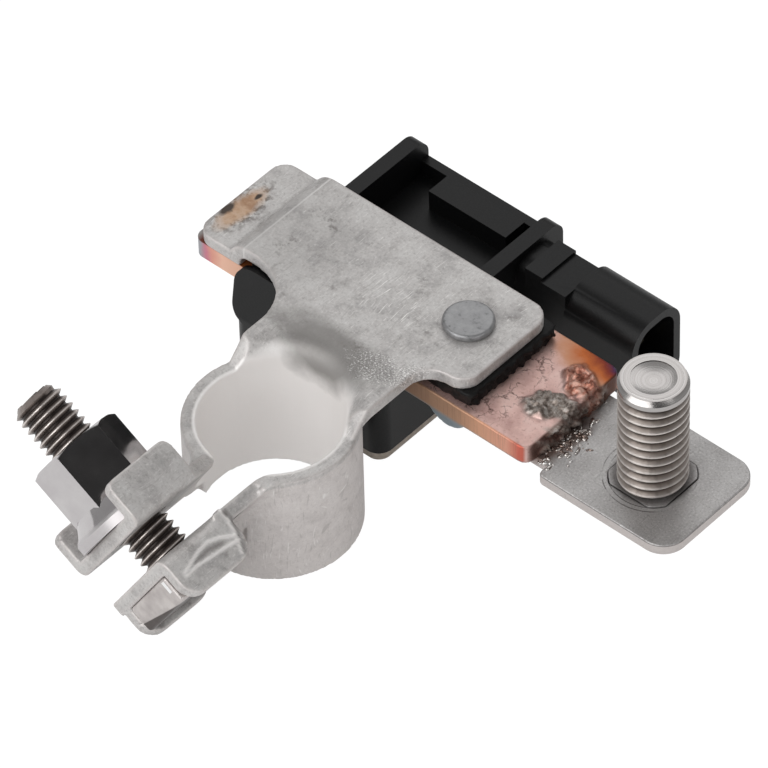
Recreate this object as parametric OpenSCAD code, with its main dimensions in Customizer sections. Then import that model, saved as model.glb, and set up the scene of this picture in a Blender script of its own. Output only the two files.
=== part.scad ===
// Battery current sensor: a pressed post clamp, a shunt bar, a moulded sensor housing and a ground stud.
// The origin is on the axis of the post ring, at the ring's lower edge. +Z is up the battery post,
// +X runs along the shunt to the ground stud, and the clamp's gap opens towards -Y.

/* [Clamp sheet] */
// Thickness of the tinned sheet that the clamp is pressed from
sheet_t = 1.7; // [1.5:0.1:1.9]
// Inner radius of the post ring
ring_r = 8.35; // [8.1:0.05:8.6]
// Height of the straight wall of the ring
ring_h = 15.4; // [14.8:0.1:16]
// Outer radius of the bend from the ring into the top plate
collar_r = 3; // [2.5:0.1:3.5]
// Width of the neck between the ring and the top plate
neck_w = 18.5; // [17.5:0.1:19.5]
// Distance from the ring's axis to the front edge of the top plate
plate_front = 15.5; // [15:0.1:16]
// Depth of the top plate, front to back
plate_d = 14.9; // [14.5:0.1:15.4]
// Distance from the ring's axis to the plate's right end
plate_right = 14.9; // [14.2:0.1:15.6]
// Distance from the ring's axis to the foot of the step at the plate's left end
plate_left = 20.2; // [20:0.1:21]
// Radius of the plate's outer corners
plate_corner_r = 2.5; // [1.5:0.1:3]
// Radius of the hollow corner between neck and plate, on the lug's side
hollow_left_r = 7; // [6:0.1:8]
// Radius of the hollow corner between neck and plate, on the stud's side
hollow_right_r = 3; // [2:0.1:4]
// Radius of the bend from the top plate down to the lug
step_r = 3; // [2.6:0.1:3.2]
// Length of the stepped lug that is welded to the shunt
lug_l = 5.3; // [4.5:0.1:5.6]

/* [Clamp ears] */
// Tilt of the clamping bolt, its head end down
bolt_tilt = 31; // [28:1:34]
// Distance from the ring's axis to the bolt's axis
bolt_reach = 18.5; // [18:0.1:19]
// Drop from the ring's rim to the bolt's axis, in the middle of the gap
bolt_drop = 5.2; // [4.8:0.1:5.6]
// Width of the gap between the ears
gap_w = 4.2; // [3.4:0.1:5]
// Length of the ear flanges on the nut's side
nut_flange_l = 5.7; // [5:0.1:6.5]
// Length of the ear flanges on the head's side
head_flange_l = 5.9; // [5.5:0.1:6.4]
// Distance from the bolt's axis to the free end of the ears
ear_near = 5.1; // [4.8:0.1:5.4]
// Distance from the bolt's axis to the inner end of the nut's ear
nut_ear_far = 4.4; // [4:0.1:4.8]
// Distance from the bolt's axis to the inner end of the head's ear
head_ear_far = 5; // [4.6:0.1:5.4]
// How far the head's ear stands past its lower flange
ear_lip = 1.6; // [1:0.1:1.8]
// Radius of the free corners of the nut's ear
nut_ear_r = 1.2; // [0.8:0.1:1.6]
// Radius of the free corners of the head's ear
head_ear_r = 2.4; // [1.8:0.1:2.8]
// Outer radius of the bend from an ear's seat into its flanges
ear_bend_r = 1.4; // [1:0.1:1.6]

/* [Bolt and nut] */
// Radius of the clamping bolt
bolt_r = 3; // [2.8:0.05:3.1]
// Length of the bolt below its head
bolt_l = 24.5; // [22:0.1:26]
// Width of the bolt's square head
head_w = 10.4; // [10:0.1:10.8]
// Thickness of the bolt's square head
head_t = 3.4; // [3:0.1:3.8]
// Width across the flats of the flange nut
nut_af = 10; // [9.5:0.1:10.5]
// Height of the flange nut
nut_h = 10.1; // [9:0.1:11]
// Radius of the nut's flange
nut_flange_r = 7; // [6.6:0.1:7.2]
// Turn of the nut's hexagon about the bolt
nut_turn = 8; // [-30:1:30]
// Thickness of the nut's flange at its rim
nut_rim_t = 1.1; // [0.9:0.1:1.3]
// Height of the cone from the nut's flange to the hexagon
nut_cone_h = 2.1; // [1.8:0.1:2.4]
// Radial clearance of the nut on the bolt's thread
thread_clear = 0.05; // [0.03:0.01:0.08]
// Radial clearance of the bolt in the ears
bolt_clear = 0.3; // [0.2:0.05:0.4]
// Clearance between the ear flanges and the head or the nut between them
ear_clear = 0.3; // [0.2:0.05:0.4]

/* [Shunt] */
// Thickness of the shunt bar
bar_t = 2.5; // [2.3:0.1:2.8]
// Width of the shunt bar
bar_w = 16.2; // [15.8:0.1:16.6]
// Distance from the ring's axis to the front edge of the shunt bar
bar_front = 14.8; // [14.6:0.1:15]
// How far the bar's front edge is set back on the battery's side and inside the housing
bar_setback = 0.9; // [0.6:0.1:1.2]
// Distance from the ring's axis to the bar's left end
bar_left = 26; // [25.5:0.1:26.5]
// Distance from the ring's axis to the bar's right end
bar_right = 24.4; // [23.8:0.1:25]
// Distance from the ring's axis to the joint of the left copper and the resistor
seam_left = 11.5; // [11:0.1:12]
// Length of the resistor between the two coppers
resistor_l = 10; // [9.5:0.1:10.5]
// Distance from the ring's axis to the middle of the lobe below the bar's front edge
lobe_x = 12.7; // [12:0.1:13.5]
// Length of the lobe along the bar
lobe_l = 5; // [4:0.1:6]
// How far the lobe stands below the bar
lobe_drop = 1.3; // [0.8:0.1:1.6]
// Depth of the lobe behind the bar's front edge
lobe_w = 1.5; // [1:0.1:1.7]
// Radius of the bar's corners
bar_corner_r = 1.2; // [0.6:0.1:1.5]

/* [Insulator and rivet] */
// How far the insulator pad stands past the plate's right end
pad_proud = 0.6; // [0.4:0.1:1]
// How far the pad's front edge is set back behind the plate's front edge
pad_setback = 0.3; // [0.2:0.1:0.6]
// Distance from the plate's right end to the rivet
rivet_inset = 5.9; // [5.5:0.1:6.3]
// Radius of the rivet's head
rivet_head_r = 3; // [2.8:0.1:3.3]
// Thickness of the rivet's head
rivet_head_t = 1; // [0.8:0.1:1.2]
// Radius of the rivet's shank
rivet_r = 1.5; // [1.3:0.1:1.6]
// Wall of the rivet's insulating bush
bush_wall = 0.7; // [0.5:0.1:0.8]
// Thickness of the bush's collar under the rivet's lower head
bush_collar_t = 0.5; // [0.4:0.1:0.6]
// Clearance round the bush and round the rivet in it
bush_clear = 0.05; // [0.03:0.01:0.08]

/* [Ground plate and stud] */
// Thickness of the ground plate
ground_t = 1.5; // [1.3:0.1:1.8]
// Lap of the ground plate's full width under the bar's right end
tongue_lap = 1.4; // [1:0.1:2]
// How far the plate's tongue under the bar is set in from the bar's edges
tongue_inset = 1.8; // [1.5:0.1:2.5]
// Distance from the ring's axis to the end of the ground plate's tongue
ground_left = 17; // [16:0.1:18]
// Distance from the ring's axis to the ground plate's right end
ground_right = 44.6; // [43.5:0.1:46]
// Radius of the ground plate's corners
ground_corner_r = 3; // [2:0.1:4]
// Distance from the ground plate's right end to the stud
stud_inset = 8.8; // [8.4:0.1:9.4]
// Radius of the ground stud
stud_r = 4; // [3.8:0.1:4.2]
// Height of the stud above the ground plate
stud_h = 15.4; // [14:0.1:17]
// Radius of the stud's square neck at its corners
stud_neck_r = 4.9; // [4.7:0.1:5.1]
// Height of the stud's square neck above the ground plate
stud_neck_h = 0.8; // [0.5:0.1:1.2]
// Radius of the stud's flat head below the plate
stud_head_r = 6; // [5.6:0.1:6.4]
// Thickness of the stud's flat head
stud_head_t = 1.6; // [1.4:0.1:1.8]

/* [Housing] */
// Distance from the ring's axis to the housing's left wall
case_left = 18.8; // [18.6:0.1:19]
// Length of the housing along the shunt
case_l = 22.3; // [22:0.1:22.8]
// Distance from the ring's axis to the housing's front wall
case_front = 13.8; // [13.6:0.1:14]
// Height at which the front wall starts to lean back
case_lean_z = 9; // [8.6:0.1:9.4]
// Depth of the housing, front to back
case_d = 31.6; // [31:0.1:32.4]
// Height of the end walls above the ring's lower edge
case_wall_z = 14.3; // [14:0.1:14.6]
// Height of the tray floor above the ring's lower edge
tray_z = 9.4; // [9.2:0.1:9.8]
// Thickness of the housing's walls
case_wall = 1.6; // [1.4:0.1:1.8]
// Thickness of the end walls beside the tray
end_wall = 2; // [1.8:0.1:2.2]
// Radius of the housing's upright corners
case_corner_r = 2; // [1.6:0.1:2.4]
// Thickness of the base cover below the housing
cover_t = 1.4; // [1.2:0.1:1.6]
// How far the base cover stays inside the housing's walls
cover_inset = 0.4; // [0.3:0.1:0.6]

/* [Connector] */
// Distance from the ring's axis to the mouth of the connector
mouth_x = 21.5; // [20.5:0.1:22.5]
// Width of the connector barrel
barrel_w = 8.4; // [8.2:0.1:8.8]
// Height of the connector barrel
barrel_h = 12.6; // [12.2:0.1:12.8]
// Wall of the connector barrel
barrel_wall = 1.1; // [0.9:0.1:1.3]
// Depth of the connector socket
socket_depth = 9.5; // [9:0.1:10]
// Width of a connector pin
pin_w = 0.8; // [0.6:0.1:1]
// Distance between the two connector pins
pin_pitch = 3; // [2.6:0.1:3.4]

/* [Electronics] */
// Thickness of the circuit board
board_t = 1.6; // [1:0.1:1.8]
// Height of the circuit board above the ring's lower edge
board_z = 3.4; // [3.2:0.1:3.8]
// Clearance between the circuit board and the housing's walls
board_clear = 0.4; // [0.3:0.1:0.6]
// Clearance round a pin in its hole
pin_clear = 0.1; // [0.05:0.01:0.15]

/* [Hidden] */
$fn = 64;

// Cutters run past the faces that they cut by this much
over = 1;
// Depth of a thread as a share of its pitch
thread_depth = 0.5;
bolt_pitch = 1;
bolt_tip = 0.6;
stud_pitch = 1.25;
stud_cap_h = 1.3;
tin = "#b9b7b5";
copper = "#c98a70";
black = "#26272a";

// Heights of the layers: ring, lug on bar, bar on ground plate
plate_z = ring_h + collar_r;
sheet_z = plate_z - sheet_t;
lug_z = sheet_z - sheet_t;
bar_z = lug_z - bar_t;
bar_top = bar_z + bar_t;
ground_z = bar_z - ground_t;
bar_mid = bar_front + bar_w / 2;
bar_back = bar_front + bar_w;
slim_front = bar_front + bar_setback;
plate_back = plate_front + plate_d;
neck_half = neck_w / 2;
lug_corner_r = 2.2;
// The step's shoulder meets the lug's top where its round is one sheet below the plate
step_run = sqrt(pow(step_r, 2) - pow(step_r - sheet_t, 2));
shoulder_x = step_run - plate_left;
seam_right = -seam_left + resistor_l;
rivet_x = plate_right - rivet_inset;
stud_x = ground_right - stud_inset;

// Bolt frame: x up across the ears, y to the ring, z along the bolt towards the nut
bolt_height = ring_h - bolt_drop;
bolt_x = -0.5;
gap_shift = 0.1;
nut_face = gap_w / 2 + gap_shift;
head_face = nut_face - gap_w;
nut_seat = nut_face + sheet_t;
head_seat = head_face - sheet_t;
nut_ear_x = nut_flange_r + ear_clear;
head_ear_x = head_w / 2 + ear_clear;

// Housing and connector
case_right = case_l - case_left;
case_back = case_front + case_d;
case_z = 0.2;
cavity_z = tray_z - case_wall;
barrel_y = case_back - 0.8 - barrel_w / 2;
barrel_z = 1.6 + barrel_h / 2;
socket_x = mouth_x - socket_depth;
board_top = board_z + board_t;
board_edge = case_wall + board_clear;
board_x0 = -case_left + board_edge;
board_x1 = case_right - board_edge;
board_y0 = case_front + board_edge;
board_y1 = case_back - board_edge;
pin_row_z = cavity_z - pin_w / 2 - 0.4;
pin_x = board_x1 - 5;
pin_short = 3;
wall_rise = case_wall_z - tray_z;
end_wall_r = 2;
back_wall = 1.2;
back_rise = 2.1;
front_wall = 0.8;
front_top = sheet_z - 0.3;
front_corner_r = 2.8;

module at_bolt() {
    translate([bolt_x, -bolt_reach, bolt_height]) rotate([0, bolt_tilt - 90, 0]) children();
}

module rounded_rect(w, h, r) {
    translate([r, 0]) square([w - 2 * r, h]);
    translate([0, r]) square([w, h - 2 * r]);
    for (x = [r, w - r], y = [r, h - r]) translate([x, y]) circle(r);
}

module clamp_section() {
    translate([ring_r, 0]) square([sheet_t, ring_h]);
    translate([ring_r + collar_r, ring_h]) intersection() {
        difference() {
            circle(collar_r);
            circle(collar_r - sheet_t);
        }
        translate([-collar_r, 0]) square(collar_r);
    }
    translate([ring_r + collar_r, sheet_z]) square([60, sheet_t]);
}

module plate_outline() {
    difference() {
        union() {
            translate([shoulder_x, plate_front]) square([-shoulder_x, plate_d]);
            translate([-neck_half, plate_front])
                rounded_rect(neck_half + plate_right, plate_d, plate_corner_r);
            translate([-neck_half, 0]) square([neck_w, plate_front + over]);
            translate([neck_half - 0.01, plate_front - hollow_right_r])
                square([hollow_right_r, hollow_right_r + over]);
            translate([-neck_half - hollow_left_r, plate_front - hollow_left_r])
                square([hollow_left_r + 0.01, hollow_left_r + over]);
        }
        translate([neck_half + hollow_right_r, plate_front - hollow_right_r]) circle(hollow_right_r);
        translate([-neck_half - hollow_left_r, plate_front - hollow_left_r]) circle(hollow_left_r);
    }
}

// The collar's cut edge climbs from the ring's rim to the plate
module collar_keep() {
    rotate([90, 0, 90]) linear_extrude(4 * plate_left, center = true)
        polygon([[3, ring_h - 0.01], [3 + collar_r * 1.2, plate_z + over], [60, plate_z + over],
            [60, ring_h - 0.01]]);
}

module ring_and_plate() {
    intersection() {
        rotate_extrude() clamp_section();
        union() {
            translate([0, 0, -over]) cylinder(r = ring_r + collar_r, h = ring_h + over);
            intersection() {
                translate([0, 0, ring_h - 0.01]) linear_extrude(collar_r + over) plate_outline();
                collar_keep();
            }
        }
    }
}

// Side view of the step: a round shoulder from the plate down to the flat lug
module lug_section() {
    inner_r = step_r - sheet_t;
    difference() {
        union() {
            translate([-step_run - lug_l, inner_r - sheet_t]) square([step_run + lug_l, sheet_t]);
            intersection() {
                circle(step_r);
                translate([-step_r, 0]) square(step_r);
            }
        }
        circle(inner_r);
        translate([-inner_r, inner_r - 2 * sheet_t]) square([2 * step_r, 2 * sheet_t - inner_r]);
    }
}

module lug() {
    intersection() {
        translate([shoulder_x, 0, plate_z - step_r]) rotate([90, 0, 0])
            linear_extrude(4 * plate_back, center = true) lug_section();
        translate([-plate_left - lug_l, plate_front, 0]) linear_extrude(plate_z + over)
            rounded_rect(2 * lug_l + step_run, plate_d, lug_corner_r);
    }
}

// Channel section of an ear, across the bolt: the seat below and a flange at each side
module ear_section(half_in, length) {
    half_out = half_in + sheet_t;
    difference() {
        translate([-half_out, 0]) rounded_rect(2 * half_out, length + 2 * ear_bend_r, ear_bend_r);
        translate([-half_in, sheet_t]) square([2 * half_in, length + 2 * ear_bend_r]);
        translate([-half_out - over, length]) square([2 * half_out + 2 * over, 3 * ear_bend_r]);
    }
}

// An ear stands on its gap face and opens upwards, with its free corners rounded
module ear(half_in, far, length, corner_r) {
    half_out = half_in + sheet_t;
    intersection() {
        translate([0, far, 0]) rotate([90, 0, 0])
            linear_extrude(ear_near + far) ear_section(half_in, length);
        translate([-half_out - over, 0, 0]) rotate([90, 0, 90])
            linear_extrude(2 * half_out + 2 * over) {
                translate([-ear_near, 0]) rounded_rect(ear_near + far, length, corner_r);
                translate([-ear_near, 0]) square([ear_near + far, sheet_t]);
            }
    }
}

// The nut's ear runs up to the ring's rim in a slanted web
module nut_ear_web() {
    half_out = nut_ear_x + sheet_t;
    wall_y = bolt_reach - ring_r - sheet_t / 2;
    rim_x = (ring_h - bolt_height - nut_face * sin(bolt_tilt)) / cos(bolt_tilt);
    translate([0, 0, nut_face]) linear_extrude(sheet_t)
        polygon([[0, 0], [half_out - ear_bend_r, 0], [half_out - ear_bend_r / 3, nut_ear_far],
            [rim_x, wall_y], [0, wall_y]]);
}

// The seat of the head's ear ends in a rounded lip below its lower flange
module head_ear_lip() {
    translate([-head_ear_x - sheet_t - ear_lip, -ear_near, head_seat])
        linear_extrude(sheet_t) rounded_rect(head_ear_x + ear_lip, ear_near + head_ear_far, 1.5);
}

module clamp_ears() {
    at_bolt() difference() {
        union() {
            translate([0, 0, nut_face]) ear(nut_ear_x, nut_ear_far, nut_flange_l, nut_ear_r);
            nut_ear_web();
            translate([0, 0, head_face]) mirror([0, 0, 1])
                ear(head_ear_x, head_ear_far, head_flange_l, head_ear_r);
            head_ear_lip();
        }
        translate([0, 0, -20]) cylinder(r = bolt_r + bolt_clear, h = 40);
    }
}

// Straight arms between the ring's wall and the ears
module clamp_arms() {
    reach = bolt_reach - ring_r + 3;
    intersection() {
        at_bolt() {
            translate([-nut_ear_x - sheet_t, 0, nut_face]) cube([2 * (nut_ear_x + sheet_t), reach, sheet_t]);
            translate([-head_ear_x - sheet_t, 0, head_seat])
                cube([2 * (head_ear_x + sheet_t), reach, sheet_t]);
        }
        translate([-30, -bolt_reach + nut_ear_far - over, 0]) cube([60, 14, ring_h]);
    }
}

module post_clamp() color(tin) {
    difference() {
        union() {
            ring_and_plate();
            clamp_arms();
        }
        translate([0, 0, -over]) cylinder(r = ring_r, h = ring_h + over);
        at_bolt() translate([-30, -10, head_face]) cube([60, bolt_reach + 4, gap_w]);
        translate([rivet_x, bar_mid, 0]) cylinder(r = rivet_r + bush_wall + 2 * bush_clear, h = 30);
    }
    lug();
    clamp_ears();
}

// Round ridges in place of a rolled thread, from its first full crest to its last
module threaded_length(r, pitch, crests) {
    root = r - thread_depth * pitch;
    rotate_extrude() polygon(concat([[0, 0]],
        [for (i = [0:crests - 1], p = [[root, 0], [r, 0.4], [r, 0.6]]) [p[0], (i + p[1]) * pitch]],
        [[root, crests * pitch], [0, crests * pitch]]));
}

module clamp_bolt() color("#8f8a86") at_bolt() {
    crests = floor((bolt_l - bolt_tip) / bolt_pitch);
    thread_z = head_seat + bolt_l - bolt_tip - crests * bolt_pitch;
    translate([0, 0, head_seat - head_t]) difference() {
        translate([-head_w / 2, -head_w / 2, 0]) cube([head_w, head_w, head_t]);
        for (turn = [0:90:270]) rotate(turn) translate([head_w / 2, 0, 0]) rotate([0, 45, 0])
            cube([0.9, 2 * head_w, 0.9], center = true);
    }
    translate([0, 0, head_seat - 0.01])
        cylinder(r = bolt_r - thread_depth * bolt_pitch / 2, h = thread_z - head_seat + 0.02);
    translate([0, 0, thread_z]) threaded_length(bolt_r, bolt_pitch, crests);
    translate([0, 0, head_seat + bolt_l - bolt_tip - 0.01])
        cylinder(r1 = bolt_r - 0.1, r2 = bolt_r - bolt_tip, h = bolt_tip + 0.01);
}

module clamp_nut() color("#a8a8aa") at_bolt() translate([0, 0, nut_seat + 0.02]) difference() {
    nut_top_r = nut_af / 2 + 0.1;
    union() {
        cylinder(r = nut_flange_r, h = nut_rim_t);
        translate([0, 0, nut_rim_t]) cylinder(r1 = nut_flange_r, r2 = nut_af / 2 + 0.4, h = nut_cone_h);
        intersection() {
            rotate(nut_turn) cylinder(r = nut_af / 2 / cos(30), h = nut_h, $fn = 6);
            cylinder(r1 = nut_top_r + nut_h / tan(30), r2 = nut_top_r, h = nut_h);
        }
    }
    translate([0, 0, -over]) cylinder(r = bolt_r + thread_clear, h = nut_h + 2 * over);
}

module insulator_pad() color(black) {
    difference() {
        translate([shoulder_x, plate_front + pad_setback, bar_top]) linear_extrude(sheet_t)
            rounded_rect(plate_right + pad_proud - shoulder_x, plate_d - pad_setback, 0.8);
        translate([rivet_x, bar_mid, 0]) cylinder(r = rivet_r + bush_wall + 2 * bush_clear, h = 30);
    }
}

module rivet() color("#c9c9cb") translate([rivet_x, bar_mid, 0]) {
    low = bar_z - bush_collar_t;
    translate([0, 0, low - rivet_head_t]) cylinder(r = rivet_head_r - 0.4, h = rivet_head_t);
    translate([0, 0, low - 0.01]) cylinder(r = rivet_r, h = plate_z - low + 0.02);
    translate([0, 0, plate_z]) cylinder(r = rivet_head_r, h = rivet_head_t);
}

module rivet_bush() color("#3a3a3d") translate([rivet_x, bar_mid, 0]) difference() {
    union() {
        translate([0, 0, bar_z - bush_collar_t]) cylinder(r = rivet_head_r, h = bush_collar_t);
        translate([0, 0, bar_z - 0.01])
            cylinder(r = rivet_r + bush_wall + bush_clear, h = plate_z - bar_z + 0.01);
    }
    cylinder(r = rivet_r + bush_clear, h = 30);
}

module bar_piece(x0, x1, y0, left_round, right_round) {
    width = bar_back - y0;
    translate([x0, y0, bar_z]) linear_extrude(bar_t) difference() {
        square([x1 - x0, width]);
        for (y = [0, width], end = [0, 1]) if ((end == 0 && left_round) || (end == 1 && right_round))
            translate([end * (x1 - x0), y]) mirror([end, 0]) mirror([0, y > 0 ? 1 : 0]) difference() {
                translate([-over, -over]) square(bar_corner_r + over);
                translate([bar_corner_r, bar_corner_r]) circle(bar_corner_r);
            }
    }
}

module shunt_copper_left() color(copper) bar_piece(-bar_left, -seam_left, slim_front, true, false);

module shunt_resistor() color("#8d7a70") bar_piece(-seam_left, seam_right, slim_front, false, false);

// Shallow lobe that bulges below the bar's front edge
module edge_lobe() {
    ball = (pow(lobe_l / 2, 2) + pow(lobe_drop, 2)) / 2 / lobe_drop;
    intersection() {
        translate([lobe_x, bar_front, bar_z + ball - lobe_drop]) rotate([-90, 0, 0]) cylinder(r = ball, h = lobe_w);
        translate([lobe_x - lobe_l, bar_front, bar_z - lobe_l]) cube([2 * lobe_l, lobe_w, lobe_l + bar_t / 2]);
    }
}

module shunt_copper_right() color(copper) difference() {
    union() {
        edge_lobe();
        bar_piece(seam_right, case_right + over, slim_front, false, false);
        bar_piece(case_right + bush_clear, bar_right, bar_front, false, true);
    }
    translate([rivet_x, bar_mid, 0]) cylinder(r = rivet_r + bush_wall + 2 * bush_clear, h = 30);
}

module stud_neck(clear) {
    side = 2 * stud_r + 0.2 + 2 * clear;
    intersection() {
        square(side, center = true);
        circle(stud_neck_r + clear);
    }
}

module ground_plate() color("#a9abad") {
    difference() {
        translate([0, bar_front, ground_z]) linear_extrude(ground_t) {
            translate([ground_left, tongue_inset])
                rounded_rect(ground_right - ground_left - ground_corner_r, bar_w - 2 * tongue_inset, 1);
            translate([bar_right - tongue_lap, 0])
                rounded_rect(ground_right - bar_right + tongue_lap, bar_w, ground_corner_r);
            translate([bar_right - tongue_lap, 0]) rounded_rect(3 * tongue_lap, bar_w, tongue_lap / 2);
        }
        translate([stud_x, bar_mid, ground_z - over])
            linear_extrude(ground_t + 2 * over) stud_neck(0.05);
    }
}

module ground_stud() color("#9b948e") translate([stud_x, bar_mid, 0]) {
    top = bar_z + stud_h;
    chamfer = 0.7;
    crests = floor((stud_h - stud_neck_h - stud_cap_h) / stud_pitch);
    cap_z = top - stud_cap_h;
    thread_z = cap_z - crests * stud_pitch;
    dish_r = stud_r - chamfer - 0.3;
    dish_depth = 0.5;
    dish_ball = (pow(dish_r, 2) + pow(dish_depth, 2)) / 2 / dish_depth;
    translate([0, 0, ground_z - stud_head_t]) cylinder(r = stud_head_r, h = stud_head_t);
    translate([0, 0, ground_z - 0.01]) linear_extrude(ground_t + stud_neck_h + 0.01) stud_neck(0);
    translate([0, 0, bar_z]) cylinder(r = stud_r - thread_depth * stud_pitch / 2, h = thread_z - bar_z + 0.02);
    translate([0, 0, thread_z]) threaded_length(stud_r, stud_pitch, crests);
    translate([0, 0, cap_z - 0.01]) cylinder(r = stud_r, h = stud_cap_h - chamfer + 0.02);
    difference() {
        translate([0, 0, top - chamfer]) cylinder(r1 = stud_r, r2 = stud_r - chamfer, h = chamfer);
        translate([0, 0, top + dish_ball - dish_depth]) sphere(dish_ball);
    }
}

module barrel_section(inset) {
    h = barrel_h - 2 * inset;
    w = barrel_w - 2 * inset;
    translate([-w / 2, -h / 2]) rounded_rect(w, h, 3.4 - inset);
}

module along_x(x, y, z) {
    translate([x, y, z]) rotate([90, 0, 90]) children();
}

module sense_hole(x) {
    translate([x, bar_mid, 0]) cube([pin_w + 2 * pin_clear, pin_w + 2 * pin_clear, 60], center = true);
}

sense_left_x = -seam_left - 2;
sense_right_x = seam_right + 1.4;

// Upright wall across the housing, its upper back corner rounded, seen along the shunt
module end_wall_section() {
    depth = case_back - case_corner_r + 1 - case_front;
    translate([0, -over]) {
        square([depth - end_wall_r, wall_rise + over]);
        square([depth, wall_rise + over - end_wall_r]);
        translate([depth - end_wall_r, wall_rise + over - end_wall_r]) circle(end_wall_r);
    }
}

// Front wall, seen along the shunt: upright below, then leaning back to the bar
module front_lean() {
    translate([-case_left - over, 0, 0]) rotate([90, 0, 90]) linear_extrude(case_l + 2 * over)
        polygon([[case_front - over, case_lean_z], [case_front, case_lean_z],
            [slim_front - front_wall, front_top], [slim_front - front_wall, front_top + 5],
            [case_front - over, front_top + 5]]);
}

// The front wall rises in front of the bar, its upper corners rounded
module front_rise() {
    translate([-case_left, slim_front, case_lean_z - over]) rotate([90, 0, 0])
        linear_extrude(slim_front - case_front)
            rounded_rect(case_l, front_top - case_lean_z + over, front_corner_r);
}

module pin_hole(side) {
    size = pin_w + 2 * pin_clear;
    translate([-pin_w, barrel_y + side * pin_pitch / 2 - size / 2, pin_row_z - size / 2])
        cube([socket_x + over, size, size]);
}

module housing() color(black) {
    x0 = -case_left;
    difference() {
        union() {
            translate([x0, case_front, case_z])
                linear_extrude(tray_z - case_z) rounded_rect(case_l, case_d, case_corner_r);
            translate([x0, case_front, tray_z - over])
                linear_extrude(bar_z - tray_z + over)
                    rounded_rect(case_l, bar_back + 1.5 - case_front, case_corner_r);
            for (x = [x0, case_right - end_wall])
                along_x(x, case_front + 1, tray_z) linear_extrude(end_wall) end_wall_section();
            front_rise();
            translate([x0 + 1, case_back - back_wall, tray_z - over])
                cube([case_l - 2, back_wall, back_rise + over]);
            translate([x0 + 6.3, case_back - back_wall - 3.7, tray_z - over])
                cube([case_l / 2 + 0.45, 3.3, back_rise + 0.7 + over]);
            along_x(case_right - 1, barrel_y, barrel_z) linear_extrude(socket_x - case_right)
                barrel_section(0.8);
            along_x(socket_x - 0.6, barrel_y, barrel_z)
                linear_extrude(mouth_x - socket_x + 0.6) barrel_section(0);
            translate([case_right + 1.8, barrel_y - 3.7, barrel_z])
                cube([2.6, 5.8, case_wall_z - barrel_z]);
            translate([case_right + 4.3, barrel_y - 4, barrel_z])
                cube([socket_x - case_right - 4.8, 6, case_wall_z - 0.4 - barrel_z]);
        }
        front_lean();
        translate([x0 - over, slim_front - bush_clear, bar_z])
            cube([case_l + over, bar_back - slim_front + 2 * bush_clear, 10]);
        translate([case_right - over, slim_front - bush_clear, bar_z])
            cube([2 * over, bar_back - slim_front + 2 * bush_clear, 10]);
        translate([x0 + case_wall, case_front + case_wall, case_z - over])
            cube([case_l - 2 * case_wall, case_d - 2 * case_wall, cavity_z - case_z + over]);
        along_x(socket_x, barrel_y, barrel_z)
            linear_extrude(socket_depth + over) barrel_section(barrel_wall);
        for (side = [-1, 1]) pin_hole(side);
        sense_hole(sense_left_x);
        sense_hole(sense_right_x);
    }
}

module base_cover() color("#cdbfae") {
    x0 = -case_left + cover_inset;
    y0 = case_front + cover_inset;
    translate([x0, y0, case_z - cover_t])
        linear_extrude(cover_t) rounded_rect(case_l - 2 * cover_inset, case_d - 2 * cover_inset, 1.6);
    for (x = [board_x0 + post_inset, board_x1 - post_inset - post_w],
        y = [board_y0 + post_inset, board_y1 - post_inset - post_w])
        translate([x, y, case_z - 0.01]) cube([post_w, post_w, board_z - case_z + 0.01]);
}

post_w = 2;
post_inset = 1.6;

module circuit_board() color("#2f6b3c") difference() {
    translate([board_x0, board_y0, board_z]) cube([board_x1 - board_x0, board_y1 - board_y0, board_t]);
    sense_hole(sense_left_x);
    sense_hole(sense_right_x);
    for (side = [-1, 1]) translate([pin_x, barrel_y + side * pin_pitch / 2, board_z])
        cube([pin_w + 2 * pin_clear, pin_w + 2 * pin_clear, 4 * board_t], center = true);
}

module on_board(x, y) {
    translate([x, y, board_top]) children();
}

module sensor_chip() color("#1d1d1f") on_board(board_x0 + 4.8, board_y1 - 11.4) cube([5, 5, 0.9]);

module supply_capacitor() color("#b59a6a")
    on_board(board_x1 - 6, barrel_y - pin_pitch / 2 - 5.4) cube([3.2, 1.6, 1.4]);

module bus_capacitor() color("#b59a6a")
    on_board(board_x0 + 1.8, board_y1 - 4.4) cube([3.2, 1.6, 1.4]);

module protection_diode() color("#232325") on_board(board_x0 + 7.3, board_y0 + 3.2) cube([4.3, 2.6, 1.6]);

module sense_pin(x) {
    translate([x - pin_w / 2, bar_mid - pin_w / 2, board_z - 0.8])
        cube([pin_w, pin_w, bar_z - board_z + 0.8]);
}

module sense_pin_left() color("#c9b27a") sense_pin(sense_left_x);

module sense_pin_right() color("#c9b27a") sense_pin(sense_right_x);

module connector_pin(side) {
    translate([pin_x - pin_w / 2, barrel_y + side * pin_pitch / 2 - pin_w / 2, 0]) {
        translate([0, 0, pin_row_z - pin_w / 2]) cube([mouth_x - pin_short - pin_x, pin_w, pin_w]);
        translate([0, 0, board_z - 0.8]) cube([pin_w, pin_w, pin_row_z - board_z + 0.8]);
    }
}

module bus_pin() color("#c9c2a8") connector_pin(-1);

module supply_pin() color("#c9c2a8") connector_pin(1);

post_clamp();
clamp_bolt();
clamp_nut();
insulator_pad();
rivet();
rivet_bush();
shunt_copper_left();
shunt_resistor();
shunt_copper_right();
ground_plate();
ground_stud();
housing();
base_cover();
circuit_board();
sensor_chip();
supply_capacitor();
bus_capacitor();
protection_diode();
sense_pin_left();
sense_pin_right();
bus_pin();
supply_pin();
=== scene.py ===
# %% [markdown]
# # Battery current sensor
# This sensor sits on the negative post of a car battery. A sheet clamp grips the post, a copper
# shunt carries the current to the ground stud, and a black housing measures it.
# The solids come ready from the CAD frame, in metres. This lesson gives them their real finish:
# stamped tin, heat-tinted copper, rolled threads, weld beads and moulded plastic.

# %% Load the frame
import math
import random

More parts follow.
